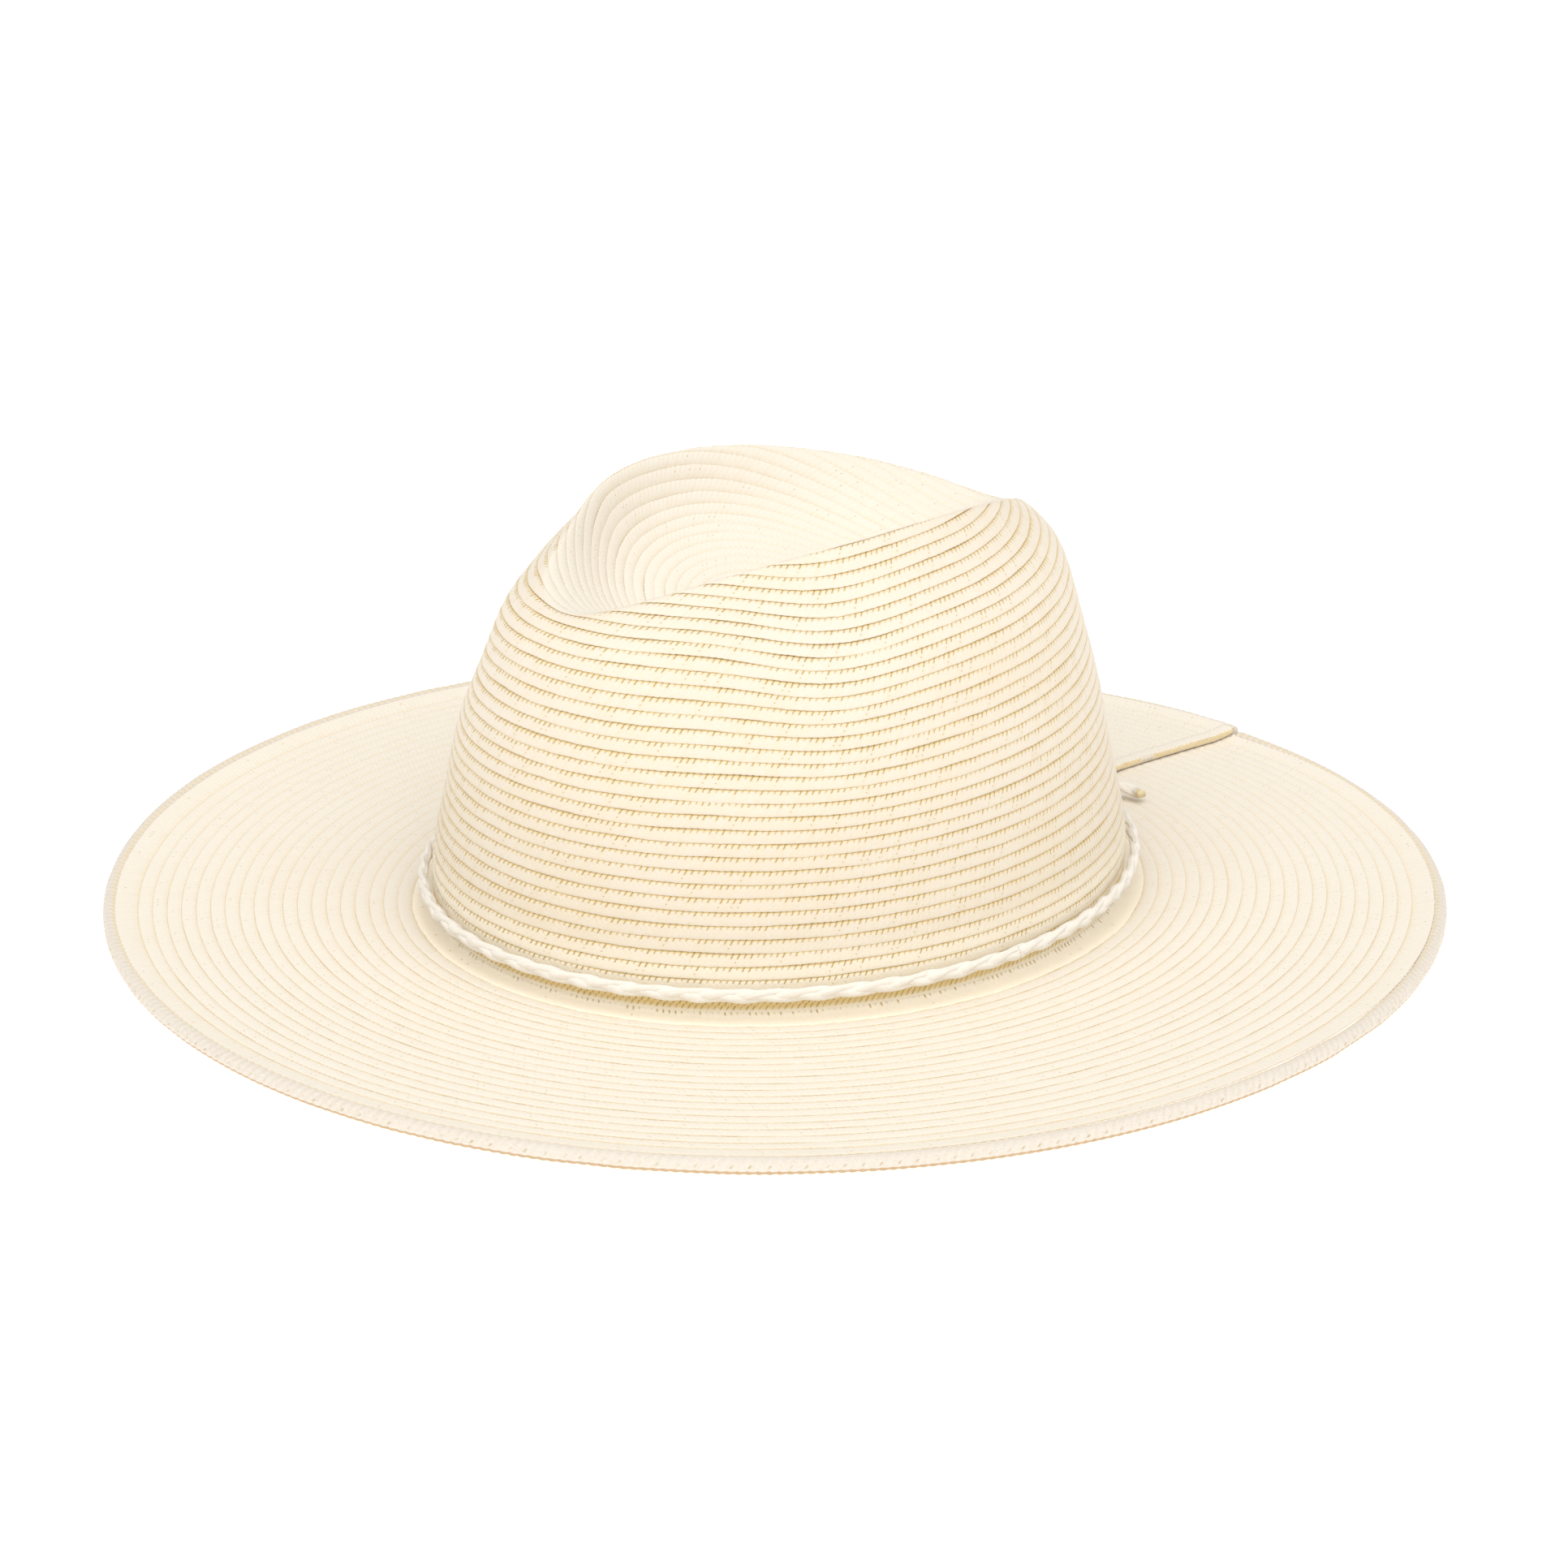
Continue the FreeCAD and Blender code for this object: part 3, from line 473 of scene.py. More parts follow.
def edge_straw():
    """The braid rolled round the wire. The braid attribute is x along the roll, y the angle up from
    its outermost line, and z the ridges of its slanting strands."""
    s = Shader("edge_straw", Specular_IOR_Level=0.3, Sheen_Weight=0.12, Sheen_Roughness=0.5)
    along, angle, ridge = s.attribute("braid")
    fibre = s.noise(s.vector(s.math("MULTIPLY", along, 0.9), s.math("MULTIPLY", angle, 9.0)), 1.0, 3.0, 0.6)
    base = s.mix(s.smooth(fibre, 0.35, 0.75), (0.75, 0.685, 0.605, 1), (0.72, 0.635, 0.520, 1))
    # painted shade in the grooves between the ridges
    base = s.mix(s.math("MULTIPLY", s.smooth(ridge, 0.55, 0.0), 0.45), base, STRAW_CREVICE_SHADE)
    # painted shadow: a golden line where the last row of the brim meets the roll, broken up by fibre noise
    from_seam = s.math("ABSOLUTE", s.math("SUBTRACT", angle, math.radians(104)))
    seam = s.math("MULTIPLY", s.smooth(from_seam, 0.18, 0.06), s.smooth(fibre, 0.25, 0.5))
    base = s.mix(s.math("MULTIPLY", seam, 0.5), base, STRAW_GOLD)
    # painted shade: dark marks along the outside, in small gaps between the strands
    level = s.math("SUBTRACT", angle, math.radians(12))
    steps = s.math("MULTIPLY_ADD", along, 1 / 4.5, s.math("MULTIPLY", level, 0.35))
    chance = s.cell_noise(s.math("FLOOR", steps))
    middle = s.math("MULTIPLY_ADD", chance, 0.3, 0.35)
    off_middle = s.math("ABSOLUTE", s.math("SUBTRACT", s.math("FRACT", steps), middle))
    off_line = s.math("ABSOLUTE", level)
    hole = s.math("MULTIPLY", s.smooth(off_middle, 0.09, 0.03), s.smooth(off_line, 0.24, 0.10))
    hole = s.math("MULTIPLY", hole, s.math("MULTIPLY_ADD", chance, 0.6, 0.25))
    # painted shade: the underside of the roll is darker brown
    under = s.math("MULTIPLY", s.smooth(angle, math.radians(-14), math.radians(-26)),
                   s.smooth(angle, math.radians(-150), math.radians(-120)))
    base = s.mix(s.math("MULTIPLY", hole, 0.75), base, STRAW_DEEP)
    s.colour(s.mix(s.math("MULTIPLY", under, 0.9), base, STRAW_UNDERSIDE_SHADE))
    rough = s.math("MULTIPLY_ADD", hole, -1.0, s.math("MULTIPLY_ADD", ridge, 0.7, fibre))
    s.bump(rough, 0.7, 0.0003)
    s.roughness(s.math("MULTIPLY_ADD", fibre, 0.25, 0.48))
    return s.material


def cotton(name, light, shade, twist):
    """Loose cotton: long soft fibres along the strand. The braid attribute is along, around and the
    strand's number, which passes 90 at a cut end, where a golden painted shadow is laid on the tip."""
    s = Shader(name, Specular_IOR_Level=0.15, Sheen_Weight=0.35, Sheen_Roughness=0.6)
    along, around, strand = s.attribute("braid")
    turned = s.math("MULTIPLY_ADD", along, twist, around)
    place = s.vector(s.math("MULTIPLY", along, 0.25), s.math("MULTIPLY", turned, 3.0), strand)
    streak = s.noise(place, 1.6, 4.0, 0.65)
    base = s.mix(s.smooth(streak, 0.3, 0.75), light, shade)
    base = s.mix(s.math("MULTIPLY", s.smooth(streak, 0.60, 0.72), 0.45), base, STRAW_GOLD)
    # painted shadow: the cut tips of the cord are golden
    s.colour(s.mix(s.math("MULTIPLY", s.smooth(strand, 40.0, 90.0), 0.7), base, STRAW_GOLD))
    s.bump(streak, 0.7, 0.0004)
    s.roughness(s.math("MULTIPLY_ADD", streak, 0.2, 0.7))
    return s.material


def woven(name, light, shade, threads_along, threads_across):
    """Woven cloth. The braid attribute's x and y are its two directions in millimetres, and z is 1 on
    the outer side of the slit tape's fold, which gets a golden painted shadow."""
    s = Shader(name, Specular_IOR_Level=0.15, Sheen_Weight=0.3, Sheen_Roughness=0.5)
    x, y, fold = s.attribute("braid")
    warp = s.math("SINE", s.math("MULTIPLY", x, TAU * threads_along))
    weft = s.math("SINE", s.math("MULTIPLY", y, TAU * threads_across))
    weave = s.math("MULTIPLY", warp, weft)
    slub = s.noise(s.vector(s.math("MULTIPLY", x, 0.6), s.math("MULTIPLY", y, 4.0)), 1.0, 3.0)
    cloth = s.mix(s.math("MULTIPLY_ADD", weave, 0.25, slub), light, shade)
    # painted shadow: golden on the side of the tape's fold, between the flaps
    s.colour(s.mix(s.math("MULTIPLY", fold, s.smooth(slub, 0.2, 0.6)), cloth, STRAW_GOLD))
    s.bump(s.math("ADD", weave, slub), 0.5, 0.00015)
    s.roughness(s.math("MULTIPLY_ADD", slub, 0.2, 0.7))
    return s.material


def steel():
    s = Shader("spring_steel", Metallic=1.0)
    scratch = s.noise(s.position(), 900.0, 2.0)
    s.colour(s.mix(scratch, (0.55, 0.55, 0.56, 1), (0.40, 0.40, 0.42, 1)))
    s.roughness(s.math("MULTIPLY_ADD", scratch, 0.2, 0.25))
    s.bump(scratch, 0.1, 0.00003)
    return s.material


# ---------------------------------------------------------------- braid rows
# Cross section of the braid: distance in from its free edge, and height against the hat's outer
# surface. The row nearer the tip lies on the part beyond PITCH.
CROWN_BRAID = [(0.0, -0.26), (0.05, -0.10), (0.26, -0.015), (1.1, 0.0), (2.4, -0.03), (3.05, -0.09),
               (3.30, -0.16), (3.50, -0.36), (5.0, -1.10),
               (4.7, -1.52), (3.0, -1.36), (1.2, -0.92), (0.3, -0.64), (0.05, -0.42)]
BRIM_BRAID = [(0.0, -0.22), (0.05, -0.09), (0.30, -0.015), (1.2, 0.0), (2.5, -0.03), (3.3, -0.10),
              (3.60, -0.19), (3.95, -0.34), (5.0, -0.55),
              (4.7, -1.10), (3.0, -0.95), (1.2, -0.62), (0.3, -0.42), (0.05, -0.36)]
SHELTERED = np.array([-0.26, -0.24, -0.19, -0.05, -0.04, -0.14, -0.20, -0.26, -0.95,
                      -1.52, -1.36, -0.92, -0.64, -0.42])    # the crown's heights where rows lie face up
ON_TOP = np.array([1.0] * 9 + [0.0] * 5)


def wander(count, length, size):
    """Smooth random drift along a braid, length in steps between its knots."""
    knots = noise.normal(0, size, int(count / length) + 4)
    return np.interp(np.arange(count) / length, np.arange(len(knots)), knots)


def braid_part(surface, path, section, relief, open_gaps, offset=0.0, stretch=1.0, start=0.0):
    """A run of braid. surface(path, across) gives points; across is mm in from the free edge. Without
    a value for open_gaps, the gaps show less where the free edge is turned up to the light."""
    count = len(path)
    strand_bump = np.where(np.arange(count) % 2 == 0, 1.0, -1.0)
    inward, height = np.array(section).T
    edge = np.exp(-inward / 0.5)
    tight = np.exp(-((inward - 2.9) / 0.7) ** 2) * ON_TOP
    drift = wander(count, 14.0, 0.10 * relief)[:, None]
    ragged = (0.06 * strand_bump + wander(count, 2.0, 0.035))[:, None]
    across = inward[None] * stretch - ragged * edge + drift
    lift = height[None] + relief * (strand_bump[:, None] * (tight + 0.35 * ON_TOP) * 0.045
                                    + wander(count, 5.0, 0.03)[:, None])
    lift = lift + np.broadcast_to(np.asarray(offset, float).reshape(-1, 1), (count, 1))
    delta = 0.15
    here = surface(path[:, None], across)
    over = surface(path[:, None], across + delta) - surface(path[:, None], across - delta)
    run = np.gradient(here, axis=0)
    normal = unit(np.cross(run, over))
    tags = np.zeros_like(here)
    tags[..., 0] = start + np.arange(count)[:, None] * STEP
    # inside the hat the other edge of the braid is the one that shows
    tags[..., 1] = np.where((ON_TOP == 0) & (inward > 1), inward.max() - inward, inward)[None]
    if open_gaps is None:
        open_gaps = np.clip(0.30 + 1.8 * unit(over)[..., 2], 0.10, 1.0)
        lift = lift + (SHELTERED - height)[None] * (1 - open_gaps)
    tags[..., 2] = open_gaps
    return here, normal, lift, tags


def evenly(curve, first, last, step):
    """Parameters between first and last whose points on the curve are step apart."""
    fine = np.linspace(first, last, int(abs(last - first) * 720) + 2)
    length = np.concatenate([[0], np.cumsum(np.linalg.norm(np.diff(curve(fine), axis=0), axis=1))])
    return np.interp(np.linspace(0, length[-1], max(3, int(length[-1] / step))), length, fine)


START_SUNK = 0.877         # the spiral starts this far inside the wall and comes out over one turn


def crown_braid():
    """One spiral from the break to the tip; its first turn follows the break."""
    per_mm = 1 / MERIDIAN

    def surface(turn, across):
        free = np.maximum(turn, 0) / CROWN_ROWS + 1 / CROWN_ROWS
        t = np.clip(free + across * per_mm, 0.0, 1 - 1e-5)
        return crown_point(np.pi / 2 + TAU * turn + 0 * t, t)
    path = evenly(lambda q: surface(q, np.full_like(q, 1.5)), -1.0, CROWN_ROWS - 1.25, STEP)
    sunk = -START_SUNK * np.clip(-path, 0, 1)
    here, normal, lift, tags = braid_part(surface, path, CROWN_BRAID, 1.0, None, offset=sunk)
    outward = np.sign((normal[:400] * here[:400] * [1, 1, 0]).sum())
    return [part_from_rings(here + normal * outward * lift[..., None], tags)]


FIRST_ROW_STRETCH = 2.1    # the first row is wide enough to turn up under the crown
TAG_STEP = 2003.0          # between the tags of two rows, so that their strands differ


def brim_rows():
    """Rows of braid outside the break. The first is a whole ring; the others end at the slit. Each is
    listed as how far out its free edge is and how much it is stretched across."""
    parts = []
    rows = [(FIRST_BRIM_ROW, FIRST_ROW_STRETCH)]
    rows += [(FIRST_BRIM_ROW + BRIM_PITCH * n, 1.0) for n in range(1, BRIM_ROWS)]
    rows += [(LAST_BRIM_ROW, (LAST_BRIM_ROW - rows[-1][0]) / BRIM_PITCH)]
    for n, (free, stretch) in enumerate(rows):
        whole = n == 0

        def surface(u, across, free=free, whole=whole):
            s = free - across
            r = np.maximum(s, 0)
            if whole:
                return brim_point(np.pi / 2 - TAU * u + 0 * s, s)
            return brim_point(brim_angle(u, r), s, flap_lift(u, r))
        path = evenly(lambda u: surface(u, np.full_like(u, 1.5)), 0.0, 1.0, STEP)
        # how open the gaps are, which also scales their painted shade; on the first row it brings in painted
        # light against the cord's shade
        open_gaps = 0.89 if whole else 0.16
        section = CROWN_BRAID if whole else BRIM_BRAID
        relief = 1.0 if whole else 0.45
        here, normal, lift, tags = braid_part(surface, path, section, relief, open_gaps, stretch=stretch,
                                              start=n * TAG_STEP)
        outward = np.sign(normal[..., :3, 2].mean())
        parts.append(part_from_rings(here + normal * outward * lift[..., None], tags))
    return parts


# ---------------------------------------------------------------- the rolled edge
TOP_ROLL_LIFT, UNDER_ROLL_DROP = 0.95, 0.25
ROLL_STEP = 0.62           # from one cross section to the next
RIDGE_PITCH, RIDGE_SLANT, RIDGE_HIGH = 2.5, 0.42, 0.32
ROLL_END = 0.9             # the ends are rounded over this length


def rolled_edge():
    """The roll round the brim, open at the slit, with the ridges of its slanting strands."""
    reach = BRIM_WIDTH - EDGE_R

    def centre(phi):
        r = brim_reach(phi) - EDGE_R
        z = edge_wave(phi) + FRONT_RISE * at_front(phi)
        return np.stack([(HALF_W + r) * np.cos(phi), (HALF_L + r) * np.sin(phi), z], -1)
    start, end = end_angle(reach, TOP_FLAP_X + EDGE_GAP), end_angle(reach, TOP_FLAP_X) - TAU
    phi = evenly(centre, start, end, ROLL_STEP)
    path = centre(phi)
    along = unit(np.gradient(path, axis=0))
    side = unit(np.cross(along, [0, 0, 1]))
    up = np.cross(side, along)
    around = 22
    angle = TAU * np.arange(around) / around
    run = np.arange(len(path)) * ROLL_STEP
    # the roll follows the two flaps, one up and one down
    path[:, 2] += (TOP_ROLL_LIFT * np.exp(-((run[-1] - run) / FLAP_REACH) ** 2)
                   - UNDER_ROLL_DROP * np.exp(-(run / FLAP_REACH) ** 2))
    # strands slant down the outside and meet low on the roll
    meet = -0.35 * np.pi
    slant = np.abs((angle - meet + np.pi) % TAU - np.pi)
    phase = run[:, None] / RIDGE_PITCH + slant[None] * RIDGE_SLANT
    ridge = np.abs(np.sin(np.pi * phase)) ** 0.7
    radius = EDGE_R - 0.28 + RIDGE_HIGH * ridge + wander(len(run), 14.0, 0.05)[:, None]
    ends = np.clip(np.minimum(run, run[::-1]) / ROLL_END, 0.05, 1)[:, None]
    radius = radius * np.sqrt(1 - (1 - ends) ** 2)
    outward = -np.sign((side[0] * path[0]).sum()) or 1
    rings = (path[:, None] - side[:, None] * outward * (radius * np.cos(angle))[..., None]
             + up[:, None] * (radius * np.sin(angle))[..., None])
    upward = (angle + np.pi) % TAU - np.pi
    tags = np.stack(np.broadcast_arrays(run[:, None], upward[None], ridge), -1)
    return [part_from_rings(rings, tags)]


# ---------------------------------------------------------------- the slit's bindings and bar tack
BINDING_WIDTH, BINDING_START = 3.6, 9.0    # how much of each face it covers, and how far out it starts


def binding(u_end, x_edge, out):
    """Flat straw tape folded over a flap's cut edge, a little ragged along the fold."""
    r = np.arange(BINDING_START, BRIM_WIDTH - 2 * EDGE_R + 0.4, 0.5)
    inner = -BINDING_WIDTH
    section = [(inner, 0.02), (inner, 0.13), (inner + 0.5, 0.20), (-2.0, 0.20), (-1.0, 0.20),
               (-0.3, 0.18), (0.12, 0.06), (0.30, -0.30), (0.30, -1.35), (0.12, -1.75),
               (-0.3, -1.90), (-1.4, -1.90), (-3.0, -1.88), (inner, -1.85), (inner, -1.66),
               (-1.4, -1.64), (0.05, -1.60), (0.05, 0.0), (-1.4, 0.02)]
    x, z = np.array(section).T
    # the outer side of the fold: made ragged, and tagged for the painted golden shadow between the flaps
    fold = np.exp(-((z + 0.8) / 0.75) ** 4) * (x > 0.1)
    ragged = (wander(len(r), 2.5, 0.16) + wander(len(r), 7.0, 0.16))[:, None] * fold[None]
    u = u_end - out * np.maximum(-x, 0)[None] / (TAU * (HALF_W + r[:, None]))
    top = brim_point(brim_angle(u, r[:, None]), r[:, None], flap_lift(u, r[:, None]))
    edge = brim_point(brim_angle(np.full_like(r, u_end), r), r)
    rings = np.stack([x_edge + out * (x[None] + ragged) + 0 * top[..., 0], edge[:, None, 1] + 0 * top[..., 1],
                      top[..., 2] + z[None]], -1)
    across = np.cumsum(np.hypot(np.gradient(x), np.gradient(z)))
    tags = np.stack(np.broadcast_arrays(r[:, None], across[None], fold[None]), -1)
    return part_from_rings(rings, tags)


def thread_bow(start, end, rise, radius, sides=7, steps=9):
    """A short stitch of thread, bowed out of the cloth between two points."""
    start, end, rise = (np.array(v, float) for v in (start, end, rise))
    s = np.linspace(0, 1, steps)
    path = start + (end - start) * s[:, None] + rise * np.sin(np.pi * s)[:, None]
    along = unit(np.gradient(path, axis=0))
    side = unit(np.cross(along, unit(rise)))
    up = np.cross(side, along)
    a = TAU * np.arange(sides) / sides
    thin = radius * (0.55 + 0.45 * np.sin(np.pi * s))[:, None, None]
    rings = path[:, None] + thin * (side[:, None] * np.cos(a)[:, None] + up[:, None] * np.sin(a)[:, None])
    tags = np.stack(np.broadcast_arrays((s * np.linalg.norm(end - start))[:, None], a[None], 0.0), -1)
    return part_from_rings(rings, tags)


def bar_tack():
    """Stitches side by side across the inner end of the slit."""
    low, high = (np.array(v) / MM - [0, 0, BREAK_Z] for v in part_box("slit_bar_tack"))
    loops = []
    count, slant, inset = 15, 0.22, 0.15
    rise, radius = (0, 0, 0.62), 0.26
    for i in range(count):
        x = low[0] + (high[0] - low[0]) * (i + 0.5) / count
        sway = 0.12 * math.sin(i * 2.4)
        y0, y1 = low[1] + inset, high[1] - inset
        start, end = (x - slant, y0 + sway, low[2]), (x + slant, y1 + sway, low[2])
        loops.append(thread_bow(start, end, rise, radius))
    return loops


# ---------------------------------------------------------------- sweatband, stitches, label
BAND_OUT = THICK + 0.25
BAND_THICK, BAND_TALL, BAND_GAP = 0.9, 30.0, 1.5


def inside_point(phi, z, depth):
    """Point inside the crown's wall, depth in from its outer face, at height z."""
    phi, z = np.broadcast_arrays(np.asarray(phi, float), np.asarray(z, float))
    t = np.maximum(z, 0) / MERIDIAN
    for _ in range(6):
        t = np.maximum(t + (z - crown_point(phi, t)[..., 2]) / MERIDIAN, 0)
    p = crown_point(phi, t)
    side = unit(np.stack([p[..., 0] / HALF_W ** 2, p[..., 1] / HALF_L ** 2, 0 * z], -1))
    return np.stack([p[..., 0], p[..., 1], z], -1) - side * np.asarray(depth, float)[..., None], side


def sweatband():
    """Cloth strip inside the opening, its top edge folded to a hem that stands a little off the crown."""
    gap = math.asin(BAND_GAP / 2 / HALF_W)
    phi = np.pi / 2 + gap + (TAU - 2 * gap) * np.linspace(0, 1, 620)
    heights = np.concatenate([np.linspace(-0.4, 26.6, 19), [27.0, 27.3, 27.7, 28.3, 29.0, 29.4, 29.6]])
    face = np.interp(heights, [-0.4, 26.8, 27.2, 28.3, 29.4, 29.6], [0, 0, 0.12, 0.15, 0.10, 0])
    ripple = 0.10 * np.sin(9 * phi + 0.6) + 0.07 * np.sin(23 * phi) + 0.05 * np.sin(41 * phi + 1)
    ripple = ripple[:, None] * (heights[None] / BAND_TALL) ** 2
    pucker = 0.07 * np.cos(62 * (phi - np.pi / 2))[:, None] * np.exp(-((heights[None] - 3.0) / 1.8) ** 2)
    inner = BAND_OUT + BAND_THICK - 0.1 + face[None] + ripple + pucker
    outer = BAND_OUT + 0.12 + ripple * 0.6 + 0 * inner
    z = heights[None] + 0 * inner
    a, _ = inside_point(phi[:, None], z, inner)
    b, _ = inside_point(phi[:, None], z, outer)
    rings = np.concatenate([a, b[:, ::-1]], 1)
    run = np.concatenate([[0], np.cumsum(np.linalg.norm(np.diff(a[:, 0], axis=0), axis=1))])
    up_and_down = np.concatenate([heights, heights[::-1]])
    tags = np.stack(np.broadcast_arrays(run[:, None], up_and_down[None], 0.0), -1)
    return [part_from_rings(rings, tags)]


def sweatband_stitches():
    """Running stitches of thread along the foot of the sweatband."""
    parts = []
    count, length, height = 62, 3.2, 3.0
    inner = BAND_OUT + BAND_THICK
    for i in range(count):
        phi = np.pi / 2 + TAU * (i + 0.5) / count
        p, side = inside_point(phi, height, inner - 0.12)
        along = np.cross(side, [0, 0, 1])
        parts.append(thread_bow(p - along * length / 2, p + along * length / 2, -side * 0.42, 0.24))
    return parts


def size_label():
    """Small woven label sewn inside the back, its long edges folded under."""
    low, high = (np.array(v) / MM - [0, 0, BREAK_Z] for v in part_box("size_label"))
    w, h = high[0] - low[0], high[2] - low[2]
    x = np.linspace(-w / 2, w / 2, 41)
    z = np.linspace(low[2], high[2], 45)
    xx, zz = np.meshgrid(x, z, indexing="ij")
    phi = np.pi / 2 - xx / HALF_W
    from_side = w / 2 - np.abs(xx)
    fold = 0.10 * np.exp(-((from_side - 1.6) / 0.5) ** 2) - 0.12 * np.exp(-from_side / 0.25)
    curl = 0.25 * ((zz - low[2]) / h) ** 2 * (0.6 + 0.4 * np.cos(np.pi * xx / w))
    inner = BAND_OUT + BAND_THICK + 0.14
    a, _ = inside_point(phi, zz, inner + 0.38 + fold + curl)
    b, _ = inside_point(phi, zz, inner + 0.05 + curl)
    rings = np.concatenate([a, b[:, ::-1]], 1)
    tags = np.stack(np.broadcast_arrays(x[:, None], np.concatenate([z, z[::-1]])[None], 0.0), -1)
    return [part_from_rings(rings, tags)]


# ---------------------------------------------------------------- the cotton band
PLAIT_PERIOD = 30.0        # a strand is back on the same side after this much cord
TAIL_PERIOD = 22.0
PLAIT_WIDE, PLAIT_DEEP = 0.84, 0.34
STRAND_WIDE, STRAND_DEEP = 1.20, 1.08
RING_RISE = 0.25           # the soft plait sits this much above its core's line


def plait(path, side, up, run, period, scale=1.0, closed=False, sides=14):
    """Three loose cotton strands plaited flat along a path; side is the plait's wide direction."""
    parts = []
    a = TAU * np.arange(sides) / sides
    for k in range(3):
        w = TAU * run / period + TAU * k / 3
        aside, above = PLAIT_WIDE * np.sin(w), PLAIT_DEEP * np.sin(2 * w)
        centre = path + scale * (side * aside[:, None] + up * above[:, None])
        full = 1 + 0.13 * np.cos(2 * w) + 0.06 * np.sin(3 * w + k) + wander(len(run), 12.0, 0.03)
        tip_shadow = 0 * run
        if closed:
            full[-20:] = full[-20:] + (full[0] - full[-1]) * np.linspace(0, 1, 20)
        else:
            left = run[-1] - run
            full = full * np.sqrt(1 - (1 - np.clip(left / 1.4 + 0.05, 0, 1)) ** 2)
            # rises at the cut tip, where the painted shadow goes
            tip_shadow = 100 * np.clip(1.6 - left / 2.0, 0, 1)
        lumps = 1 + 0.05 * np.sin(3 * a[None] + run[:, None] * 0.55 + k)
        wide = scale * STRAND_WIDE * full[:, None] * lumps
        deep = scale * STRAND_DEEP * full[:, None] * lumps
        rings = (centre[:, None] + side[:, None] * (wide * np.cos(a))[..., None]
                 + up[:, None] * (deep * np.sin(a))[..., None])
        strand = k * 7.0 + tip_shadow
        tags = np.stack(np.broadcast_arrays(run[:, None], a[None] / TAU * 6, strand[:, None]), -1)
        parts.append(part_from_rings(rings, tags, closed))
    return parts


def band_ring():
    """The plaited cord round the crown."""
    phi = np.linspace(0, TAU, 1441)[:-1]
    path = np.stack([BAND_HALF_W * np.cos(phi), BAND_HALF_L * np.sin(phi), BAND_Z + RING_RISE + 0 * phi], -1)
    run = np.concatenate([[0], np.cumsum(np.linalg.norm(np.diff(path, axis=0), axis=1))])
    length = run[-1] + np.linalg.norm(path[0] - path[-1])
    out = unit(np.stack([path[:, 0] / BAND_HALF_W ** 2, path[:, 1] / BAND_HALF_L ** 2, 0 * phi], -1))
    up = np.broadcast_to([0.0, 0.0, 1.0], path.shape)
    return plait(path, up, out, run, length / round(length / PLAIT_PERIOD), closed=True)


def band_knot():
    """An overhand knot: a tight three-lobed loop of the same cord."""
    t = np.linspace(0, TAU, 241)[:-1]
    loop = np.stack([np.sin(t) + 2 * np.sin(2 * t), -np.sin(3 * t) * 1.5, np.cos(t) - 2 * np.cos(2 * t)], -1)
    path = loop + KNOT
    run = np.concatenate([[0], np.cumsum(np.linalg.norm(np.diff(path, axis=0), axis=1))])
    length = run[-1] + np.linalg.norm(path[0] - path[-1])
    along = unit(np.roll(path, -1, 0) - np.roll(path, 1, 0))
    out = unit(path - KNOT)
    side = unit(np.cross(along, out))
    up = np.cross(side, along)
    return plait(path, side, up, run, length / 2, scale=0.78, closed=True, sides=10)


# The free ends' routes, as in the CAD source, in millimetres in the shared frame.
TAIL_ROUTES = {
    "right": [(0.0, 104.3, 14.0), (5.0, 113.5, 12.2), (13.5, 119.0, 8.4), (22.8, 120.5, 7.9)],
    "left": [(0.0, 104.3, 14.0), (-5.0, 113.5, 12.2), (-13.5, 119.0, 10.1), (-22.8, 120.5, 9.2)],
}


def route_line(name):
    """The smooth line of a free end: a NURBS spline with the route as its control points."""
    curve = bpy.data.curves.new(name + "_route", "CURVE")
    curve.dimensions = "3D"
    curve.resolution_u = 16
    spline = curve.splines.new("NURBS")
    route = TAIL_ROUTES[name]
    spline.points.add(len(route) - 1)
    for point, place in zip(spline.points, route):
        point.co = (*(c * MM for c in place), 1.0)
    spline.order_u = 3
    spline.use_endpoint_u = True
    holder = bpy.data.objects.new(name + "_route", curve)
    mesh = bpy.data.meshes.new_from_object(holder)
    line = np.array([v.co for v in mesh.vertices])
    bpy.data.objects.remove(holder)
    bpy.data.curves.remove(curve)
    bpy.data.meshes.remove(mesh)
    return line


def band_tail(name, material):
    """A free end: the plait along its route, its strands rounded off at the tip."""
    line = route_line(name)
    path = line / MM - [0, 0, BREAK_Z]
    fine = np.linspace(0, 1, 90)
    length = np.concatenate([[0], np.cumsum(np.linalg.norm(np.diff(path, axis=0), axis=1))])
    path = np.stack([np.interp(fine * length[-1], length, path[:, k]) for k in range(3)], -1)
    along = unit(np.gradient(path, axis=0))
    side = unit(np.cross([0, 0, 1.0], along))
    up = np.cross(along, side)
    parts = plait(path, side, up, fine * length[-1], TAIL_PERIOD)
    tail = make_piece("band_tail_" + name, parts, material, "band", ["band_tail_" + name])


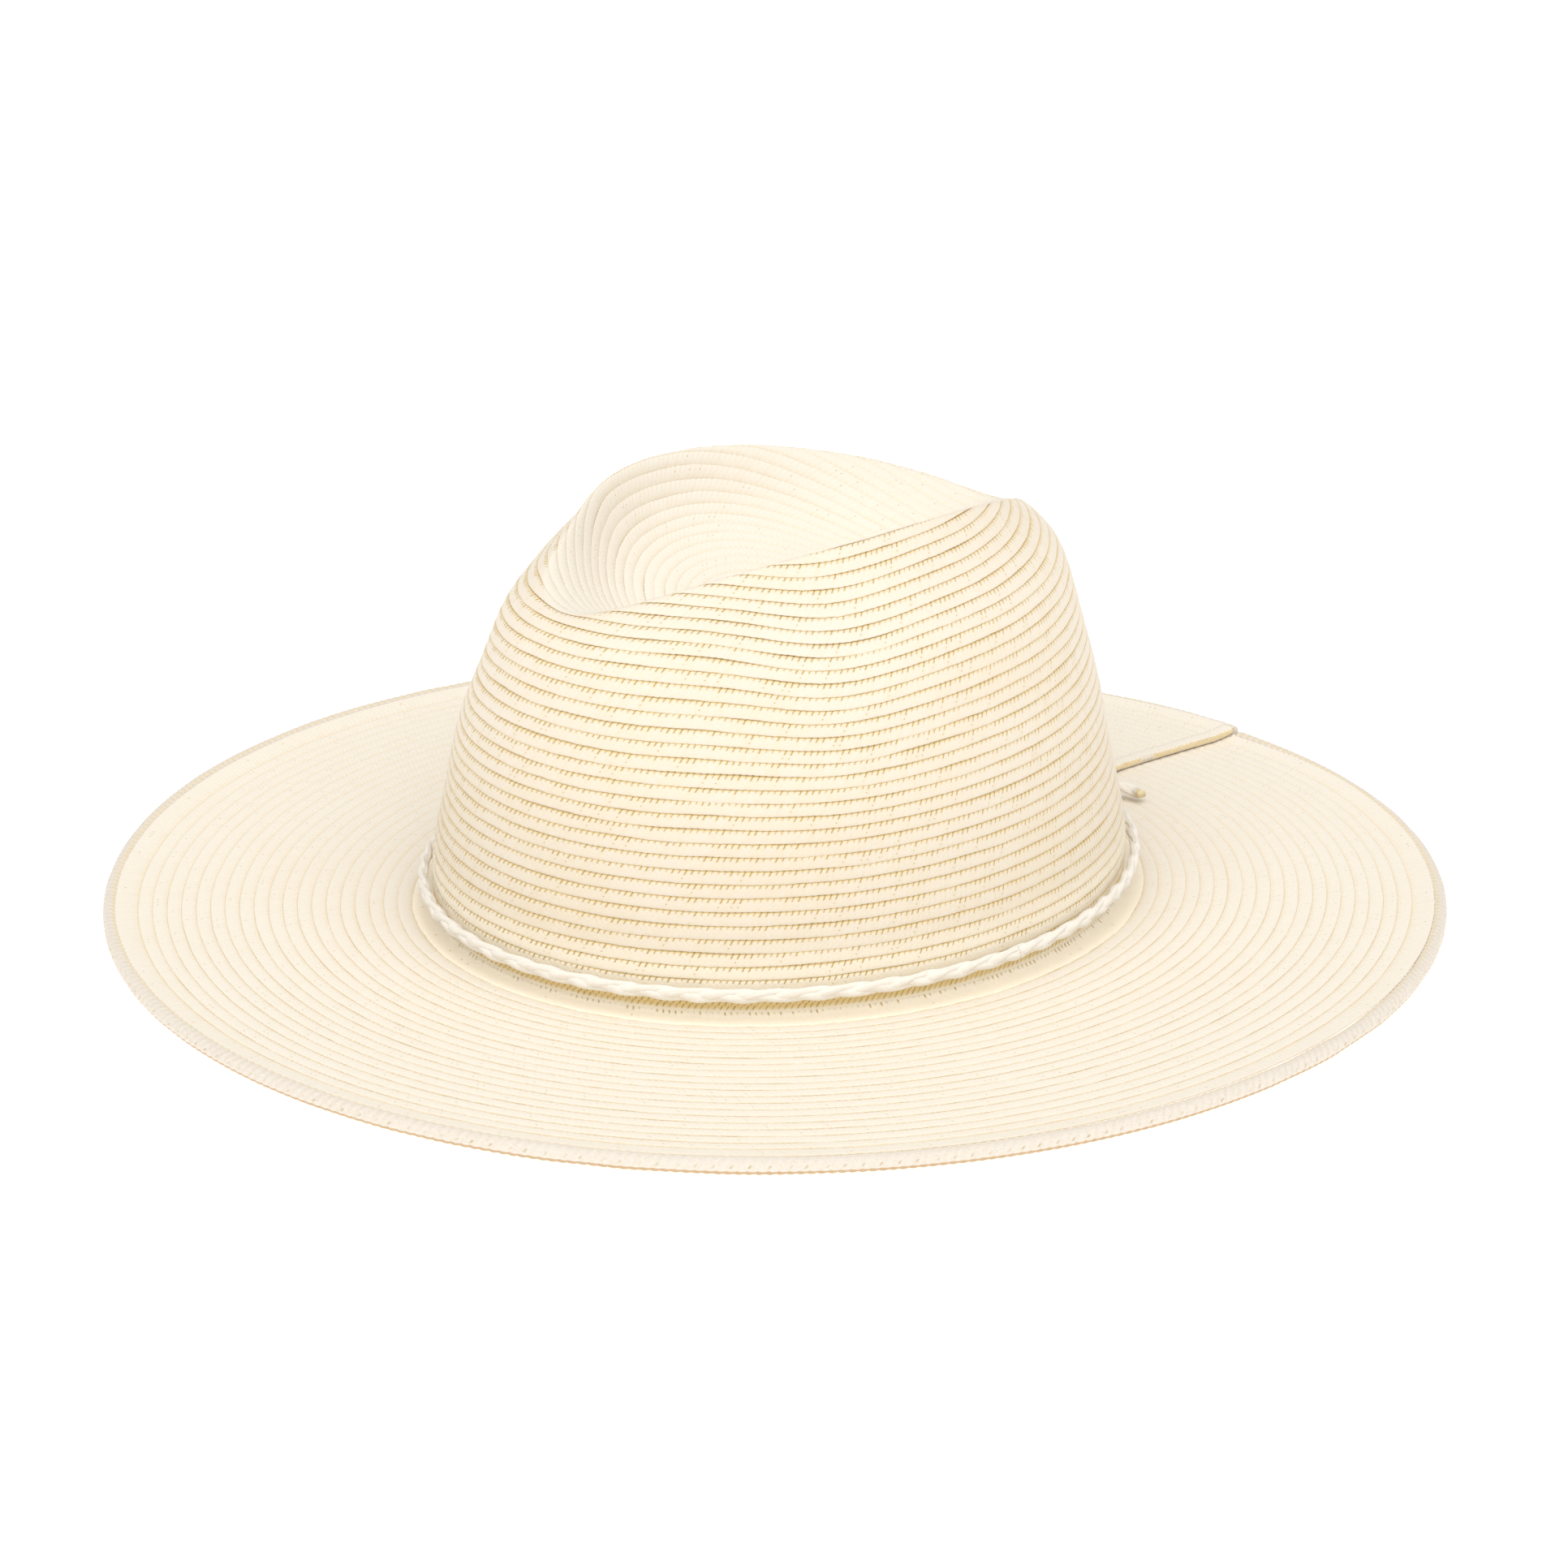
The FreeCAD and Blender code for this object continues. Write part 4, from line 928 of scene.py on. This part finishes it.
# ---------------------------------------------------------------- camera, light and floor
def camera():
    """A long lens, a little above the hat and 45 degrees to its front."""
    azimuth, elevation, roll = math.radians(45.53), math.radians(21.55), math.radians(1.43)
    back = Vector((math.sin(azimuth) * math.cos(elevation), -math.cos(azimuth) * math.cos(elevation),
                   math.sin(elevation)))
    right = back.cross(Vector((0, 0, -1))).normalized()
    up = back.cross(right)
    tilted_right = right * math.cos(roll) + up * math.sin(roll)
    tilted_up = up * math.cos(roll) - right * math.sin(roll)
    target, distance = Vector((-0.00073, 0.00058, 0.03497)), 1.429
    eye = bpy.data.objects.new("camera", bpy.data.cameras.new("camera"))
    eye.data.sensor_width, eye.data.lens = 36.0, 121.69
    eye.data.clip_start, eye.data.clip_end = 0.05, 50.0
    turn = Matrix((tilted_right, tilted_up, back)).transposed().to_4x4()
    eye.matrix_world = Matrix.Translation(target + back * distance) @ turn
    bpy.context.scene.collection.objects.link(eye)
    bpy.context.scene.camera = eye


def area_light(name, place, target, size, power):
    lamp = bpy.data.lights.new(name, "AREA")
    lamp.shape, lamp.size, lamp.energy = "DISK", size, power
    made = bpy.data.objects.new(name, lamp)
    made.location = place
    made.rotation_euler = (Vector(target) - Vector(place)).to_track_quat("-Z", "Y").to_euler()
    bpy.context.scene.collection.objects.link(made)


SKY_LIGHT, SUN_LIGHT = 0.56, 2.15
FLOOR_GLOW = 0.50          # the floor is a light table, which thins the shadow under the brim


def studio():
    scene = bpy.context.scene
    world = bpy.data.worlds.new("studio")
    scene.world = world
    world.use_nodes = True
    world.node_tree.nodes["Background"].inputs[0].default_value = (1.0, 1.0, 1.0, 1)
    world.node_tree.nodes["Background"].inputs[1].default_value = SKY_LIGHT
    sun = bpy.data.lights.new("broad_light", "SUN")
    sun.energy, sun.angle = SUN_LIGHT, math.radians(80)
    lamp = bpy.data.objects.new("broad_light", sun)
    lamp.rotation_euler = Vector((-0.30, 0.28, -1.0)).to_track_quat("-Z", "Y").to_euler()
    scene.collection.objects.link(lamp)
    area_light("front_softbox", (1.0, -1.0, 0.75), (0, 0, 0.05), 0.9, 1.1)
    mesh = bpy.data.meshes.new("floor")
    half = 4.0
    corners = [(-half, -half, 0), (half, -half, 0), (half, half, 0), (-half, half, 0)]
    mesh.from_pydata(corners, [], [(0, 1, 2, 3)])
    floor = bpy.data.objects.new("floor", mesh)
    floor.location.z = -0.0003
    paint = Shader("floor_white", Roughness=0.9, Specular_IOR_Level=0.0, Emission_Color=(1, 1, 1, 1),
                   Emission_Strength=FLOOR_GLOW)
    grain = paint.noise(paint.position(), 40.0)
    paint.colour(paint.mix(grain, (0.97, 0.97, 0.97, 1), (0.95, 0.95, 0.95, 1)))
    mesh.materials.append(paint.material)
    scene.collection.objects.link(floor)
    scene.view_settings.view_transform = "Standard"
    scene.view_settings.look = "None"
    scene.view_settings.exposure = 0.0


camera()
studio()
cotton_white = cotton("cotton_white", (0.92, 0.87, 0.79, 1), (0.89, 0.82, 0.70, 1), 0.25)
for tail_name in TAIL_ROUTES:
    band_tail(tail_name, cotton_white)
make_piece("hat_band_plait", band_ring(), cotton_white, "band", ["hat_band"])
make_piece("band_knot_loop", band_knot(), cotton_white, "band", ["band_knot"])

crown_straw = straw("crown_straw", 0.85, 0.0, PITCH, 0.34, True)
brim_straw = straw("brim_straw", 0.34, 0.45, BRIM_PITCH, 0.34, False)
make_piece("crown_braid", crown_braid(), crown_straw, "hat", ["crown"])
make_piece("brim_braid", brim_rows(), brim_straw, "hat", ["brim"])
make_piece("rolled_edge", rolled_edge(), edge_straw(), "hat", ["brim_edge_braid"])

tape = woven("binding_tape", (0.84, 0.77, 0.67, 1), (0.80, 0.72, 0.60, 1), 0.6, 0.6)
make_piece("slit_tape_left", [binding(1.0, TOP_FLAP_X, 1)], tape, "hat", ["slit_binding_left"])
make_piece("slit_tape_right", [binding(0.0, UNDER_FLAP_X, -1)], tape, "hat", ["slit_binding_right"])
thread = cotton("sewing_thread", (0.88, 0.85, 0.78, 1), (0.78, 0.73, 0.62, 1), 2.2)
make_piece("bar_tack_thread", bar_tack(), thread, "hat", ["slit_bar_tack"])
stitching = make_piece("sweatband_thread", sweatband_stitches(), thread, "hat", ["sweatband_stitches"])
band_cloth = woven("sweatband_cloth", (0.84, 0.80, 0.72, 1), (0.76, 0.71, 0.61, 1), 1.1, 1.1)
lining = make_piece("sweatband_cloth", sweatband(), band_cloth, "hat", ["sweatband"])
label_cloth = woven("label_cloth", (0.88, 0.87, 0.84, 1), (0.80, 0.78, 0.74, 1), 2.0, 2.0)
label = make_piece("size_label_cloth", size_label(), label_cloth, "hat", ["size_label"])
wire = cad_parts["brim_wire"]
wire.data.materials.clear()
wire.data.materials.append(steel())
